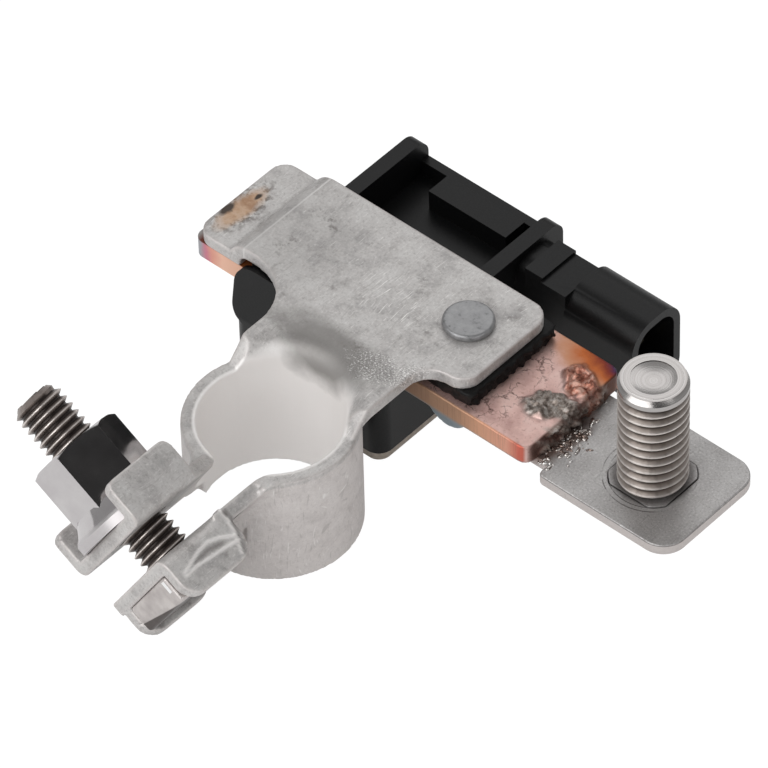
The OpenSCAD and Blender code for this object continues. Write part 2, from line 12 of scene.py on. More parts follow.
import bpy
from mathutils import Euler, Matrix, Vector, noise


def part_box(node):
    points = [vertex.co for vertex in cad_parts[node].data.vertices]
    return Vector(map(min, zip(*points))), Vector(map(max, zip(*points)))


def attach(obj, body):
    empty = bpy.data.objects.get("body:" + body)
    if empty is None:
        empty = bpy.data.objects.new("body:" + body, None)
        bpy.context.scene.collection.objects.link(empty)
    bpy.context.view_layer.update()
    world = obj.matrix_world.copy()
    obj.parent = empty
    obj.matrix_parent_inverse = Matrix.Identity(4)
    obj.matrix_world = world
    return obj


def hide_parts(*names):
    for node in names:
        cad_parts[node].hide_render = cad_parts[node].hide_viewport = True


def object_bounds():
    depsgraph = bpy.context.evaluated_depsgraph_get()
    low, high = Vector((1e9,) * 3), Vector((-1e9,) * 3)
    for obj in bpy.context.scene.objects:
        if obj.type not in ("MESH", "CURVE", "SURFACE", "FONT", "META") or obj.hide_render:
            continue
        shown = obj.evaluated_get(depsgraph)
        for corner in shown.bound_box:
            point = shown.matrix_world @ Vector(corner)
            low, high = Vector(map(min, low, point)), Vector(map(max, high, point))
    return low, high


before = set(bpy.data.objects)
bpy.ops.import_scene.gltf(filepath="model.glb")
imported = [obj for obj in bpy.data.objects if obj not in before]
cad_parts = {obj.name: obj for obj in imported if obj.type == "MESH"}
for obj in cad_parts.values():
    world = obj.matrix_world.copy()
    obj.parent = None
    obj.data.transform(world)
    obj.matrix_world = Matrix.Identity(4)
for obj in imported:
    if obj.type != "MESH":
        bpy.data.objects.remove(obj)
cad_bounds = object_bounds()
scene = bpy.context.scene
MM = 0.001
BODY = "sensor"
print("nodes:", len(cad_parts), "CAD box:", [tuple(round(v / MM, 1) for v in c) for c in cad_bounds])

# %% [markdown]
# ## Camera
# The photograph is a close-up from the front right, 46 degrees above the floor, with a long lens
# and almost no perspective. The camera's axes are worked out from those angles, and the ring's
# axis is placed on the pixel where the photograph shows it. That keeps every edge comparable.

# %% Place the camera
VIEW_AZIMUTH = math.radians(42.66)
VIEW_ELEVATION = math.radians(46.0)
VIEW_ROLL = math.radians(-1.58)
PHOTO_SIZE = 768
FOCAL_PX = 8000
RING_PX = (275.1, 513.6)
RING_PX_PER_MM = 8.95

level_right = Vector((math.cos(VIEW_AZIMUTH), math.sin(VIEW_AZIMUTH), 0))
level_ahead = Vector((-math.sin(VIEW_AZIMUTH), math.cos(VIEW_AZIMUTH), 0))
ahead = level_ahead * math.cos(VIEW_ELEVATION) - Vector((0, 0, math.sin(VIEW_ELEVATION)))
level_up = level_ahead * math.sin(VIEW_ELEVATION) + Vector((0, 0, math.cos(VIEW_ELEVATION)))
right = level_right * math.cos(VIEW_ROLL) + level_up * math.sin(VIEW_ROLL)
up = level_up * math.cos(VIEW_ROLL) - level_right * math.sin(VIEW_ROLL)
distance = FOCAL_PX / RING_PX_PER_MM * MM
aside = [(p - PHOTO_SIZE / 2) / FOCAL_PX * distance for p in RING_PX]

bpy.ops.object.camera_add(location=-(right * aside[0] - up * aside[1] + ahead * distance))
camera = bpy.context.object
camera.rotation_euler = Matrix((right, up, -ahead)).transposed().to_euler()
camera.data.sensor_width = 36
camera.data.lens = FOCAL_PX / PHOTO_SIZE * camera.data.sensor_width
camera.data.clip_start = 0.05
scene.camera = camera
scene.view_settings.view_transform = "Standard"
print("camera at", [round(v, 3) for v in camera.location])

# %% [markdown]
# ## Small helpers
# Colours are written as sRGB hex and turned linear by one function. One function adds a shader
# node with its settings and links, and reads a node given to it by that node's first output.
# Another takes one piece alone, because every operator acts on all that is selected.

# %% Colour, node and selection helpers
def linear(hex_code):
    """Turns an sRGB hex colour into the linear values that a shader works with."""
    channels = [int(hex_code[i:i + 2], 16) / 255 for i in (1, 3, 5)]
    return [c / 12.92 if c <= 0.04045 else ((c + 0.055) / 1.055) ** 2.4 for c in channels] + [1]


def result(source):
    """Returns the first output that a node has in use. Anything else comes back as it is."""
    if isinstance(source, bpy.types.Node):
        return next(output for output in source.outputs if output.enabled)
    return source


def add_node(tree, kind, inputs=None, stops=None, **settings):
    """Adds a shader node. A hex string becomes a colour, and a node or socket becomes a link."""
    node = tree.nodes.new(kind)
    for name, value in settings.items():
        setattr(node, name, value)
    for name, value in (inputs or {}).items():
        value = result(value)
        if isinstance(value, bpy.types.NodeSocket):
            tree.links.new(value, node.inputs[name])
        else:
            node.inputs[name].default_value = linear(value) if isinstance(value, str) else value
    if stops:
        ramp = node.color_ramp.elements
        for i, (place, colour) in enumerate(stops):
            stop = ramp[i] if i < len(ramp) else ramp.new(place)
            stop.position = place
            stop.color = linear(colour)
    return node


def start_material(name, metallic=0.0, roughness=0.5):
    """Returns a new material, its node tree, its shader, and its object coordinates."""
    material = bpy.data.materials.new(name)
    material.use_nodes = True
    tree = material.node_tree
    shader = tree.nodes["Principled BSDF"]
    shader.inputs["Metallic"].default_value = metallic
    shader.inputs["Roughness"].default_value = roughness
    print("material", name, "metallic", metallic, "roughness", roughness)
    return material, tree, shader, add_node(tree, "ShaderNodeTexCoord").outputs["Object"]


def deselect():
    """Leaves edit mode and empties the selection."""
    if bpy.context.object and bpy.context.object.mode != "OBJECT":
        bpy.ops.object.mode_set(mode="OBJECT")
    bpy.ops.object.select_all(action="DESELECT")


def take(piece):
    """Makes a piece the only one that is selected, and the active one."""
    deselect()
    piece.select_set(True)
    bpy.context.view_layer.objects.active = piece


print("example: #808080 is", round(linear("#808080")[0], 3), "in linear light")

# %% [markdown]
# ## Floor
# The product lies on white paper. A real studio lights the paper until it is white. Here the
# paper's white comes from what the camera and the mirror-like parts see of it, and not from more
# light on the metal, so the grey of the tin stays a plain grey and the paper keeps its shadow.

# %% Build the floor
PAPER_GAP = 0.0002
bpy.ops.mesh.primitive_plane_add(size=3, location=(0, 0, cad_bounds[0][2] - PAPER_GAP))
floor = bpy.context.object
floor.name = "floor"
paper, tree, shader, _ = start_material("white_paper", roughness=0.9)
shader.inputs["Base Color"].default_value = linear("#f2f2f2")
seen = add_node(tree, "ShaderNodeLightPath")
mirrored = add_node(tree, "ShaderNodeMath", {0: seen.outputs["Is Glossy Ray"], 1: 0.4}, operation="MULTIPLY")
whiteness = add_node(tree, "ShaderNodeMath", {0: seen.outputs["Is Camera Ray"], 1: 0.9, 2: mirrored},
                     operation="MULTIPLY_ADD")
white = add_node(tree, "ShaderNodeEmission", {"Color": "#ffffff", "Strength": 1.1})
blend = add_node(tree, "ShaderNodeMixShader", {0: whiteness, 1: shader.outputs[0], 2: white})
tree.links.new(blend.outputs[0], tree.nodes["Material Output"].inputs["Surface"])
floor.data.materials.append(paper)
print("floor at", round(floor.location.z / MM, 2), "mm")

# %% [markdown]
# ## Room
# A polished nut shows what stands round it. The room is plain white, with a dark flag above the
# camera, as a photographer would hang one there, so that the nut's upper facets turn dark.

# %% Paint the room
FLAG_TOWARDS = Vector((0.473, -0.237, 0.851))
ROOM_STRENGTH = 0.38
world = bpy.data.worlds.new("studio")
scene.world = world
world.use_nodes = True
tree = world.node_tree
sky = tree.nodes["Background"]
way = add_node(tree, "ShaderNodeTexCoord").outputs["Generated"]
facing = add_node(tree, "ShaderNodeVectorMath", {0: way, 1: FLAG_TOWARDS.normalized()},
                  operation="DOT_PRODUCT")
flag = add_node(tree, "ShaderNodeMapRange", {"Value": facing, "From Min": 0.86, "From Max": 0.95})
room = add_node(tree, "ShaderNodeMix", {0: flag, 6: "#ffffff", 7: "#5b5b5b"}, data_type="RGBA")
tree.links.new(result(room), sky.inputs["Color"])
sky.inputs["Strength"].default_value = ROOM_STRENGTH
print("room strength:", ROOM_STRENGTH)

# %% [markdown]
# ## Lamps
# Three large soft boxes give the broad highlights of the photograph: one in front that does most
# of the work, a weak one behind that lifts the far edges, and one to the right for the plate's
# end. Each lamp is turned to look at the part.

# %% Hang the lamps
def add_lamp(name, place, size, power):
    bpy.ops.object.light_add(type="AREA", location=place)
    lamp = bpy.context.object
    lamp.name = name
    lamp.data.shape = "RECTANGLE"
    lamp.data.size, lamp.data.size_y = size
    lamp.data.energy = power
    lamp.rotation_euler = (-Vector(place)).to_track_quat("-Z", "Y").to_euler()
    print(name, "watts:", power)


add_lamp("front_softbox", (-0.06, -0.60, 0.52), (0.8, 0.7), 4.2)
add_lamp("back_softbox", (-0.25, 0.45, 0.55), (0.6, 0.5), 0.9)
add_lamp("right_softbox", (0.65, -0.10, 0.30), (0.5, 0.4), 0.7)

# %% [markdown]
# ## Pattern helpers
# Real marks have a place and a size. A spot is a soft ellipsoid round a point of the part, with
# its rim broken up by noise. Scratches are noise that is stretched along one direction, so that
# only thin, long streaks rise over the threshold. All sizes are given in millimetres.

# %% Spots and scratches
def distance_from(tree, place, middle, squash=(1, 1, 0)):
    """Returns the distance from a point in millimetres, with each axis counted by its factor."""
    offset = add_node(tree, "ShaderNodeVectorMath", {0: place, 1: Vector(middle) * MM}, operation="SUBTRACT")
    counted = add_node(tree, "ShaderNodeVectorMath", {0: offset, 1: squash}, operation="MULTIPLY")
    return add_node(tree, "ShaderNodeVectorMath", {0: counted}, operation="LENGTH")


def spot(tree, place, centre, radii, ragged=0.0, grit=1.0):
    """Returns 1 inside an ellipsoid given in millimetres, fading to 0 at its rim."""
    if ragged:
        crumbs = add_node(tree, "ShaderNodeTexNoise", {"Vector": place, "Scale": 1 / (grit * MM),
                                                       "Detail": 4})
        shift = add_node(tree, "ShaderNodeVectorMath", {0: crumbs.outputs["Color"], 1: (0.5, 0.5, 0.5)},
                         operation="SUBTRACT")
        grow = add_node(tree, "ShaderNodeVectorMath", {0: shift, "Scale": 2 * ragged * MM}, operation="SCALE")
        place = add_node(tree, "ShaderNodeVectorMath", {0: place, 1: grow}, operation="ADD")
    reach = distance_from(tree, place, centre, [1 / (radius * MM) for radius in radii])
    return add_node(tree, "ShaderNodeMapRange", {"Value": reach, "From Min": 1.0, "From Max": 0.55})


def scratches(tree, place, turn, width, length, threshold):
    """Returns thin streaks of the given width and length in millimetres, turned about Z."""
    stretch = [1 / (size * MM) for size in (width, length, 2)]
    turned = add_node(tree, "ShaderNodeMapping", {"Vector": place, "Rotation": (0, 0, math.radians(turn)),
                                                  "Scale": stretch})
    streaks = add_node(tree, "ShaderNodeTexNoise", {"Vector": turned, "Scale": 1.0, "Detail": 1.5})
    return add_node(tree, "ShaderNodeMapRange", {"Value": streaks, "From Min": threshold,
                                                 "From Max": threshold + 0.08})


def hairlines(tree, place, cell, width):
    """Returns thin branching lines: the borders of warped cells of a size in mm, where noise shows them."""
    warp = add_node(tree, "ShaderNodeTexNoise", {"Vector": place, "Scale": 1 / (1.5 * MM), "Detail": 3})
    shift = add_node(tree, "ShaderNodeVectorMath", {0: warp.outputs["Color"], "Scale": 3 * MM},
                     operation="SCALE")
    moved = add_node(tree, "ShaderNodeVectorMath", {0: place, 1: shift}, operation="ADD")
    cells = add_node(tree, "ShaderNodeTexVoronoi", {"Vector": moved, "Scale": 1 / (cell * MM)},
                     feature="DISTANCE_TO_EDGE")
    line = add_node(tree, "ShaderNodeMapRange", {"Value": cells, "From Min": width, "From Max": 0.0})
    shown = add_node(tree, "ShaderNodeMapRange", {"Value": warp, "From Min": 0.46, "From Max": 0.56})
    return add_node(tree, "ShaderNodeMath", {0: line, 1: shown}, operation="MULTIPLY")


def over(tree, below, above, *shares):
    """Lays one colour over another by a share, or by the product of several shares."""
    share = shares[0]
    for factor in shares[1:]:
        share = add_node(tree, "ShaderNodeMath", {0: share, 1: factor}, operation="MULTIPLY")
    return add_node(tree, "ShaderNodeMix", {0: share, 6: below, 7: above}, data_type="RGBA")


def feed(tree, shader, colour, height=None, depth_mm=0.0):
    """Feeds a shader its colour and, where there is one, a relief with its real depth."""
    tree.links.new(result(colour), shader.inputs["Base Color"])
    if height is not None:
        bump = add_node(tree, "ShaderNodeBump", {"Height": height, "Distance": depth_mm * MM,
                                                 "Strength": 1.0})
        tree.links.new(result(bump), shader.inputs["Normal"])
    print("finished with", len(tree.nodes), "nodes and a relief of", depth_mm, "mm")


# %% [markdown]
# ## Tinned sheet steel
# The clamp is pressed from sheet with a thin matte tin coat. Tin takes a soft, cloudy grey, and
# its fine crystals show as a grain of dark and pale specks. It is half metal and half oxide to
# the eye, so it isn't fully metallic, which keeps its grey even where no lamp is mirrored.

# %% Tin: clouds and grain
tin, tree, shader, place = start_material("tinned_sheet_steel", metallic=0.4, roughness=0.46)
clouds = add_node(tree, "ShaderNodeTexNoise", {"Vector": place, "Scale": 1 / (3.5 * MM), "Detail": 8,
                                               "Roughness": 0.7})
colour = add_node(tree, "ShaderNodeValToRGB", {"Fac": clouds},
                  [(0.32, "#a5a2a1"), (0.5, "#c3c0be"), (0.68, "#cfcdcb")])
grain = add_node(tree, "ShaderNodeTexNoise", {"Vector": place, "Scale": 1 / (0.3 * MM), "Detail": 5,
                                              "Roughness": 0.75})
dust = add_node(tree, "ShaderNodeMapRange", {"Value": grain, "From Min": 0.54, "From Max": 0.70})
pale = add_node(tree, "ShaderNodeMapRange", {"Value": grain, "From Min": 0.44, "From Max": 0.34})
colour = over(tree, colour, "#85807e", dust, 0.6)
colour = over(tree, colour, "#e6e4e2", pale, 0.5)
print("tin, clouds and grain:", len(tree.nodes), "nodes")

# %% [markdown]
# ## Stains of handling, and painted light on the wall
# Fingers and oil leave crumbly dark patches, which gather where the clouds are dark. The ring's
# wall gets a painted light: its tin is painted paler than the plate, standing in for the light that
# falls on it. The wall is found by its height and by its distance from the ring's axis.

# %% Tin: stains and wall
stains = add_node(tree, "ShaderNodeTexNoise", {"Vector": place, "Scale": 1 / (1.6 * MM), "Detail": 8,
                                               "Roughness": 0.75})
stained = add_node(tree, "ShaderNodeMapRange", {"Value": stains, "From Min": 0.53, "From Max": 0.66})
gather = add_node(tree, "ShaderNodeMapRange", {"Value": clouds, "From Min": 0.54, "From Max": 0.42,
                                               "To Min": 0.12, "To Max": 0.6})
colour = over(tree, colour, "#7b7673", stained, gather)

x, y, z = add_node(tree, "ShaderNodeSeparateXYZ", {0: place}).outputs
from_axis = distance_from(tree, place, (0, 0, 0))
# painted light: the ring's wall is painted paler below its rim
below = add_node(tree, "ShaderNodeMapRange", {"Value": z, "From Min": 15 * MM, "From Max": 14.6 * MM})
painted_light_wall = add_node(tree, "ShaderNodeMapRange", {"Value": from_axis, "From Min": 12 * MM, "From Max": 11 * MM})
colour = over(tree, colour, "#e8dfdc", below, painted_light_wall, 0.4)
print("tin, stains and wall:", len(tree.nodes), "nodes")

# %% [markdown]
# ## Scratches
# Parts rub on each other in the box, so the scratches run in all directions. Straight streaks of
# noise would look ruled, so the coordinates are bent a little by a slow warp before they are
# stretched. Most scratches are bright, and a few hold dirt.

# %% Tin: scratches
BRIGHT_SCRATCHES = ((24, 0.11, 1.8, 0.70), (-61, 0.13, 1.5, 0.70), (78, 0.10, 2, 0.71),
                    (-12, 0.12, 1.4, 0.70))
DARK_SCRATCHES = ((-35, 0.14, 3, 0.66), (50, 0.16, 2, 0.66))
warp = add_node(tree, "ShaderNodeTexNoise", {"Vector": place, "Scale": 1 / (6 * MM), "Detail": 1})
shift = add_node(tree, "ShaderNodeVectorMath", {0: warp.outputs["Color"], "Scale": 1.5 * MM},
                 operation="SCALE")
bent = add_node(tree, "ShaderNodeVectorMath", {0: place, 1: shift}, operation="ADD")
for scratch in BRIGHT_SCRATCHES:
    colour = over(tree, colour, "#f3f1ef", scratches(tree, bent, *scratch), 0.6)
for scratch in DARK_SCRATCHES:
    colour = over(tree, colour, "#77726e", scratches(tree, bent, *scratch), 0.25)
print("tin, directions of scratches:", len(BRIGHT_SCRATCHES) + len(DARK_SCRATCHES))

# %% [markdown]
# ## Rubbed edges and a painted highlight on the step
# Cut and bent edges are rubbed bright. The clamp's mesh will carry how far each point stands out,
# as the attribute rim. A bright line along the top of the lug's step, at one X, is a painted
# highlight on its crease.

# %% Tin: edges and crease
STEP_X = -18.05
rubbed = add_node(tree, "ShaderNodeAttribute", attribute_name="rim")
colour = over(tree, colour, "#d9d2cf", rubbed.outputs["Fac"], 0.75)
# painted highlight: a bright line along the crease of the lug's step
painted_step_highlight = add_node(tree, "ShaderNodeMath", {0: x, 1: STEP_X * MM, 2: 0.13 * MM}, operation="COMPARE")
colour = over(tree, colour, "#e9e7e5", painted_step_highlight, 0.6)
print("tin, crease at X", STEP_X, "mm")

# %% [markdown]
# ## Painted light inside the ring
# The ring's inside is painted nearly white, a painted light standing in for the light that falls
# into the ring. At the back its upper edge is rolled outwards into the neck, so there the painted
# light reaches further out from the axis.

# %% Tin: inside of the ring
ROLL_REACH = 1.1
# painted light: the ring's inside is painted nearly white
rise = add_node(tree, "ShaderNodeMapRange", {"Value": z, "From Min": 15.5 * MM, "From Max": 16 * MM})
back = add_node(tree, "ShaderNodeMapRange", {"Value": y, "From Min": 5 * MM, "From Max": 8 * MM})
both = add_node(tree, "ShaderNodeMath", {0: rise, 1: back}, operation="MULTIPLY")
rolled = add_node(tree, "ShaderNodeMath", {0: both, 1: ROLL_REACH * MM, 2: 8.9 * MM},
                  operation="MULTIPLY_ADD")
inside = add_node(tree, "ShaderNodeMapRange", {"Value": from_axis, "From Min": rolled, "From Max": 8.5 * MM})
colour = over(tree, colour, "#fbf8f6", inside)
print("tin, inside of the ring:", len(tree.nodes), "nodes")

# %% [markdown]
# ## Folds and dirt
# ## Folds, painted shade and dark spots
# The right ear was folded hard. Its folds get a painted highlight where they stand out and a
# painted shade beside that, and the mesh carries both as attributes. The neck's bend is drawn
# darker in ragged spots, broad painted shade lies over the neck and the plate's left side, and a
# dark brown corner is painted shade in the notch where the right arm's rim ends.

# %% Tin: folds, painted shade and dark spots
NECK_DARK_SPOTS = (((-5.5, 9.9, 17.6), (6.5, 1.3, 2.5)), ((2.5, 11.8, 18.2), (4.5, 1.2, 2.5)))
# painted shade beside the ear's folds, and a painted highlight on them
fold_shade = add_node(tree, "ShaderNodeAttribute", attribute_name="hollow")
fold_highlight = add_node(tree, "ShaderNodeAttribute", attribute_name="fold")
colour = over(tree, colour, "#6d6765", fold_shade.outputs["Fac"], 0.6)
colour = over(tree, colour, "#f6f3f1", fold_highlight.outputs["Fac"], 0.85)
# darker ragged spots along the neck's bend
for centre, radii in NECK_DARK_SPOTS:
    colour = over(tree, colour, "#6f6b69", spot(tree, place, centre, radii, 1.6, 0.6), 0.3)
# painted shade over the neck, and a weaker one on the plate's left side
neck_shade = spot(tree, place, (-0.5, 10.4, 17), (11, 4.2, 4), 1.0, 3)
colour = over(tree, colour, "#85827f", neck_shade, 0.85)
left_shade = spot(tree, place, (-14, 20, 18.4), (8, 10, 3), 2.0, 3)
colour = over(tree, colour, "#8a8785", left_shade, 0.22)
# painted shade: a dark brown corner in the notch where the right arm's rim ends
colour = over(tree, colour, "#3d2b29", spot(tree, place, (6.3, -13.7, 15.4), (1.3, 0.5, 0.7), 0.15))
print("tin, folds and dirt:", len(tree.nodes), "nodes")

# %% [markdown]
# ## Worn grit
# The neck's tight bend and the metal beside the notch are worn to a sparkling grit: fine bright
# grains with soot between them. One fine noise gives both, from its two ends.

# %% Tin: worn grit
WORN_PLACES = (((5.6, 11.3, 18.0), (4.6, 2.6, 3)), ((9.4, 12.8, 18.4), (2.2, 2.4, 2)))
grit = add_node(tree, "ShaderNodeTexNoise", {"Vector": place, "Scale": 1 / (0.2 * MM), "Detail": 3,
                                             "Roughness": 0.6})
sparks = add_node(tree, "ShaderNodeMapRange", {"Value": grit, "From Min": 0.56, "From Max": 0.66})
soot = add_node(tree, "ShaderNodeMapRange", {"Value": grit, "From Min": 0.47, "From Max": 0.40})
for centre, radii in WORN_PLACES:
    worn = spot(tree, place, centre, radii, ragged=1.4, grit=1.2)
    colour = over(tree, colour, "#6d6a68", worn, soot, 0.5)
    colour = over(tree, colour, "#fbfaf8", worn, sparks, 0.95)
print("tin, worn places:", len(WORN_PLACES))

# %% [markdown]
# ## Dirt and scratches on the plate
# Three places of the top plate hold crumbly dirt: the back, the left side and the right of the
# neck. A nest of bright scratches lies in its middle.

# %% Tin: plate
PLATE_DIRT = (((-13.3, 25.2, 18.4), (4.0, 2.0, 1), 0.8), ((-14.5, 16.9, 18.4), (2.0, 4.5, 1), 0.75),
              ((3.3, 11.7, 18.4), (3.0, 1.6, 1), 0.8))
for centre, radii, share in PLATE_DIRT:
    colour = over(tree, colour, "#625c58", spot(tree, place, centre, radii, 1.6, 0.8), stained, share)
nest = spot(tree, place, (0, 20.6, 18.4), (6.5, 4.0, 1), 2.0, 2.0)
colour = over(tree, colour, "#f6f4f2", nest, scratches(tree, bent, 15, 0.14, 2.6, 0.61), 0.8)
print("tin, dirty places of the plate:", len(PLATE_DIRT))

# %% [markdown]
# ## Burnt weld patch
# The lug was resistance-welded from above, which burnt the tin. The patch has a pitted dark rim,
# a tan middle and two small holes. It is built up in that order, each one over the last.

# %% Tin: weld patch on the lug
rim = spot(tree, place, (-23.6, 21.6, 16.7), (2.7, 6.4, 1.2), ragged=0.9)
pits = add_node(tree, "ShaderNodeTexNoise", {"Vector": place, "Scale": 1 / (0.5 * MM), "Detail": 3})
pitted = add_node(tree, "ShaderNodeMapRange", {"Value": pits, "From Min": 0.47, "From Max": 0.62})
colour = over(tree, colour, "#6f6863", rim, pitted)
tan = add_node(tree, "ShaderNodeValToRGB", {"Fac": clouds},
               [(0.35, "#a8805f"), (0.5, "#c4a284"), (0.65, "#cbb09a")])
colour = over(tree, colour, tan, spot(tree, place, (-23.7, 21.2, 16.7), (1.7, 4.8, 1.2), 0.5), 0.9)
colour = over(tree, colour, "#4a4039", spot(tree, place, (-24.9, 20.2, 16.7), (0.7, 1.5, 1), 0.4))
colour = over(tree, colour, "#3f362f", spot(tree, place, (-23.5, 23.9, 16.7), (0.35, 0.75, 1), 0.2))
feed(tree, shader, colour, grain, 0.03)

# %% [markdown]
# ## The bolt's own directions
# The bolt lies 31 degrees off the level, so marks on it are placed by two distances: the height
# over its axis and the station along it. Both are dot products with the bolt's directions.

# %% Bolt's directions
BOLT_TILT = math.radians(31)
BOLT_POINT = Vector((-0.5, -18.5, 10.2))
BOLT_AXIS = Vector((-math.cos(BOLT_TILT), 0, math.sin(BOLT_TILT)))
BOLT_ACROSS = Vector((math.sin(BOLT_TILT), 0, math.cos(BOLT_TILT)))
BOLT_AXES = Matrix((BOLT_ACROSS, Vector((0, 1, 0)), BOLT_AXIS)).transposed()


def bolt_sockets(tree, place):
    """Returns the height over the bolt's axis and the station along it, in metres."""
    offset = add_node(tree, "ShaderNodeVectorMath", {0: place, 1: BOLT_POINT * MM}, operation="SUBTRACT")
    return [add_node(tree, "ShaderNodeVectorMath", {0: offset, 1: way}, operation="DOT_PRODUCT")
            for way in (BOLT_ACROSS, BOLT_AXIS)]


print("bolt points to", [round(v, 3) for v in BOLT_AXIS])

# %% [markdown]
# ## Rolled thread steel
# A thread is painted dark in its roots, as painted shade, and bright on its crests, as a painted
# highlight. The thread's mesh carries a crest value for that. The bolt's steel is dark, and the
# stud is stainless, with a brown-grey tone in its roots.

# %% Steels of the threads
def thread_steel(name, root, crest, rough):
    """Returns a steel that goes from three root shades to one crest shade, by the crest value."""
    material, tree, shader, place = start_material(name, metallic=0.6, roughness=rough)
    height = add_node(tree, "ShaderNodeAttribute", attribute_name="crest").outputs["Fac"]
    # painted shade in the roots, painted highlight on the crests
    colour = add_node(tree, "ShaderNodeValToRGB", {"Fac": height},
                      [(0.0, root[0]), (0.45, root[1]), (0.8, root[2]), (0.97, crest)])
    dirt = add_node(tree, "ShaderNodeTexNoise", {"Vector": place, "Scale": 1 / (0.8 * MM), "Detail": 5})
    patchy = add_node(tree, "ShaderNodeMapRange", {"Value": dirt, "From Min": 0.5, "From Max": 0.7})
    feed(tree, shader, over(tree, colour, root[0], patchy, 0.3), dirt, 0.03)
    return material


bolt_steel = thread_steel("dark_rolled_thread_steel", ("#2f2825", "#786e69", "#9d938d"), "#ddd5d0", 0.36)
stud_steel = thread_steel("stainless_stud_steel", ("#3a312c", "#8b817a", "#a79d97"), "#d6cfca", 0.32)

# %% [markdown]
# ## Turned end of the stud
# The stud's end was faced on a lathe. The tool leaves fine rings round the axis, a quarter of a
# millimetre wide, which make the light run in arcs. A noise of one dimension, read by the
# distance from the axis, gives rings of uneven strength.

# %% Steel of the turned end
STUD_MIDDLE = Vector((35.8, 22.9, 0))
STUD_END = Vector((35.8, 22.9, 27))
RING_WIDTH = 0.25
turned_steel, tree, shader, place = start_material("turned_stud_end", metallic=1.0, roughness=0.24)
out = distance_from(tree, place, STUD_END, (1, 1, 0.02))
rings_out = add_node(tree, "ShaderNodeMath", {0: out, 1: 1 / (RING_WIDTH * MM)}, operation="MULTIPLY")
rings = add_node(tree, "ShaderNodeTexNoise", {"W": rings_out, "Scale": 1.0}, noise_dimensions="1D")
colour = add_node(tree, "ShaderNodeValToRGB", {"Fac": rings}, [(0.35, "#b0acaa"), (0.65, "#bbb8b6")])
feed(tree, shader, colour, rings, 0.006)

# %% [markdown]
# ## Head of the bolt
# The head is zinc-plated and mottled by handling. A dark wedge along its lower edge is painted
# shade where the head meets its ear, and a painted highlight glints at its upper corner. Both
# are placed by height and station.

# %% Steel of the head
SHADE_WEDGE_STATION = -6.5
HIGHLIGHT_HEIGHT, HIGHLIGHT_STATION = 4.5, -4.8
head_steel, tree, shader, place = start_material("zinc_plated_head_steel", metallic=0.8, roughness=0.42)
mottle = add_node(tree, "ShaderNodeTexNoise", {"Vector": place, "Scale": 1 / (2 * MM), "Detail": 5})
colour = add_node(tree, "ShaderNodeValToRGB", {"Fac": mottle}, [(0.35, "#b9b2b0"), (0.6, "#d2ccc9")])
height, station = bolt_sockets(tree, place)
slant = add_node(tree, "ShaderNodeMath", {0: height, 1: 0.13, 2: station}, operation="MULTIPLY_ADD")
# painted shade: a dark wedge along the head's lower edge beside the ear
painted_shade_wedge = add_node(tree, "ShaderNodeMapRange", {"Value": slant, "From Min": SHADE_WEDGE_STATION * MM,
                                              "From Max": (SHADE_WEDGE_STATION - 0.1) * MM})
colour = over(tree, colour, "#3f3734", painted_shade_wedge, 0.9)
# painted highlight at the head's upper corner
high = add_node(tree, "ShaderNodeMath", {0: height, 1: HIGHLIGHT_HEIGHT * MM, 2: 0.3 * MM}, operation="COMPARE")
near = add_node(tree, "ShaderNodeMath", {0: station, 1: HIGHLIGHT_STATION * MM, 2: 0.75 * MM},
                operation="COMPARE")
feed(tree, shader, over(tree, colour, "#ffffff", high, near, 0.9), mottle, 0.04)

# %% [markdown]
# ## Polished nut
# The nut's zinc plate is polished and nearly a mirror, so it shows the white room and the dark
# flag in hard-edged patches. A haze breaks the mirror a little. The flange, below one station on
# the bolt, is duller than the hexagon.

# %% Zinc of the nut
FLANGE_STATION = 5.6
nut_zinc, tree, shader, place = start_material("polished_zinc_plate", metallic=1.0, roughness=0.1)
haze = add_node(tree, "ShaderNodeTexNoise", {"Vector": place, "Scale": 1 / (2.5 * MM), "Detail": 6})
colour = add_node(tree, "ShaderNodeValToRGB", {"Fac": haze}, [(0.3, "#c4c0c1"), (0.7, "#cecbcb")])
feed(tree, shader, colour)
gloss = add_node(tree, "ShaderNodeMapRange", {"Value": haze, "To Min": 0.06, "To Max": 0.16})
_, station = bolt_sockets(tree, place)
flange = add_node(tree, "ShaderNodeMapRange", {"Value": station, "From Min": FLANGE_STATION * MM,
                                               "From Max": (FLANGE_STATION - 0.4) * MM, "To Max": 0.3})
dullness = add_node(tree, "ShaderNodeMath", {0: gloss, 1: flange}, operation="ADD")
tree.links.new(result(dullness), shader.inputs["Roughness"])

# %% [markdown]
# ## Copper of the stud's side: its top
# The shunt was welded in a rush of heat. Its copper turned a pale, matte pink with dark flecks,
# and fine cracks of oxide run over it beside the pad. Bare oxide is duller than metal, so this
# copper is only partly metallic.

# %% Right copper: top
copper_right, tree, shader, place = start_material("heat_tinted_copper_right", metallic=0.7, roughness=0.42)
x, y, z = add_node(tree, "ShaderNodeSeparateXYZ", {0: place}).outputs
wave = add_node(tree, "ShaderNodeTexNoise", {"Vector": place, "Scale": 1 / (3 * MM), "Detail": 6,
                                             "Roughness": 0.6})
top = add_node(tree, "ShaderNodeValToRGB", {"Fac": wave},
               [(0.3, "#b8958e"), (0.5, "#d4b1a9"), (0.7, "#dfc2ba")])
fine = add_node(tree, "ShaderNodeTexNoise", {"Vector": place, "Scale": 1 / (0.35 * MM), "Detail": 4})
flecks = add_node(tree, "ShaderNodeMapRange", {"Value": fine, "From Min": 0.56, "From Max": 0.7})
top = over(tree, top, "#a07870", flecks, 0.5)
near_pad = add_node(tree, "ShaderNodeMapRange", {"Value": x, "From Min": 22 * MM, "From Max": 17 * MM})
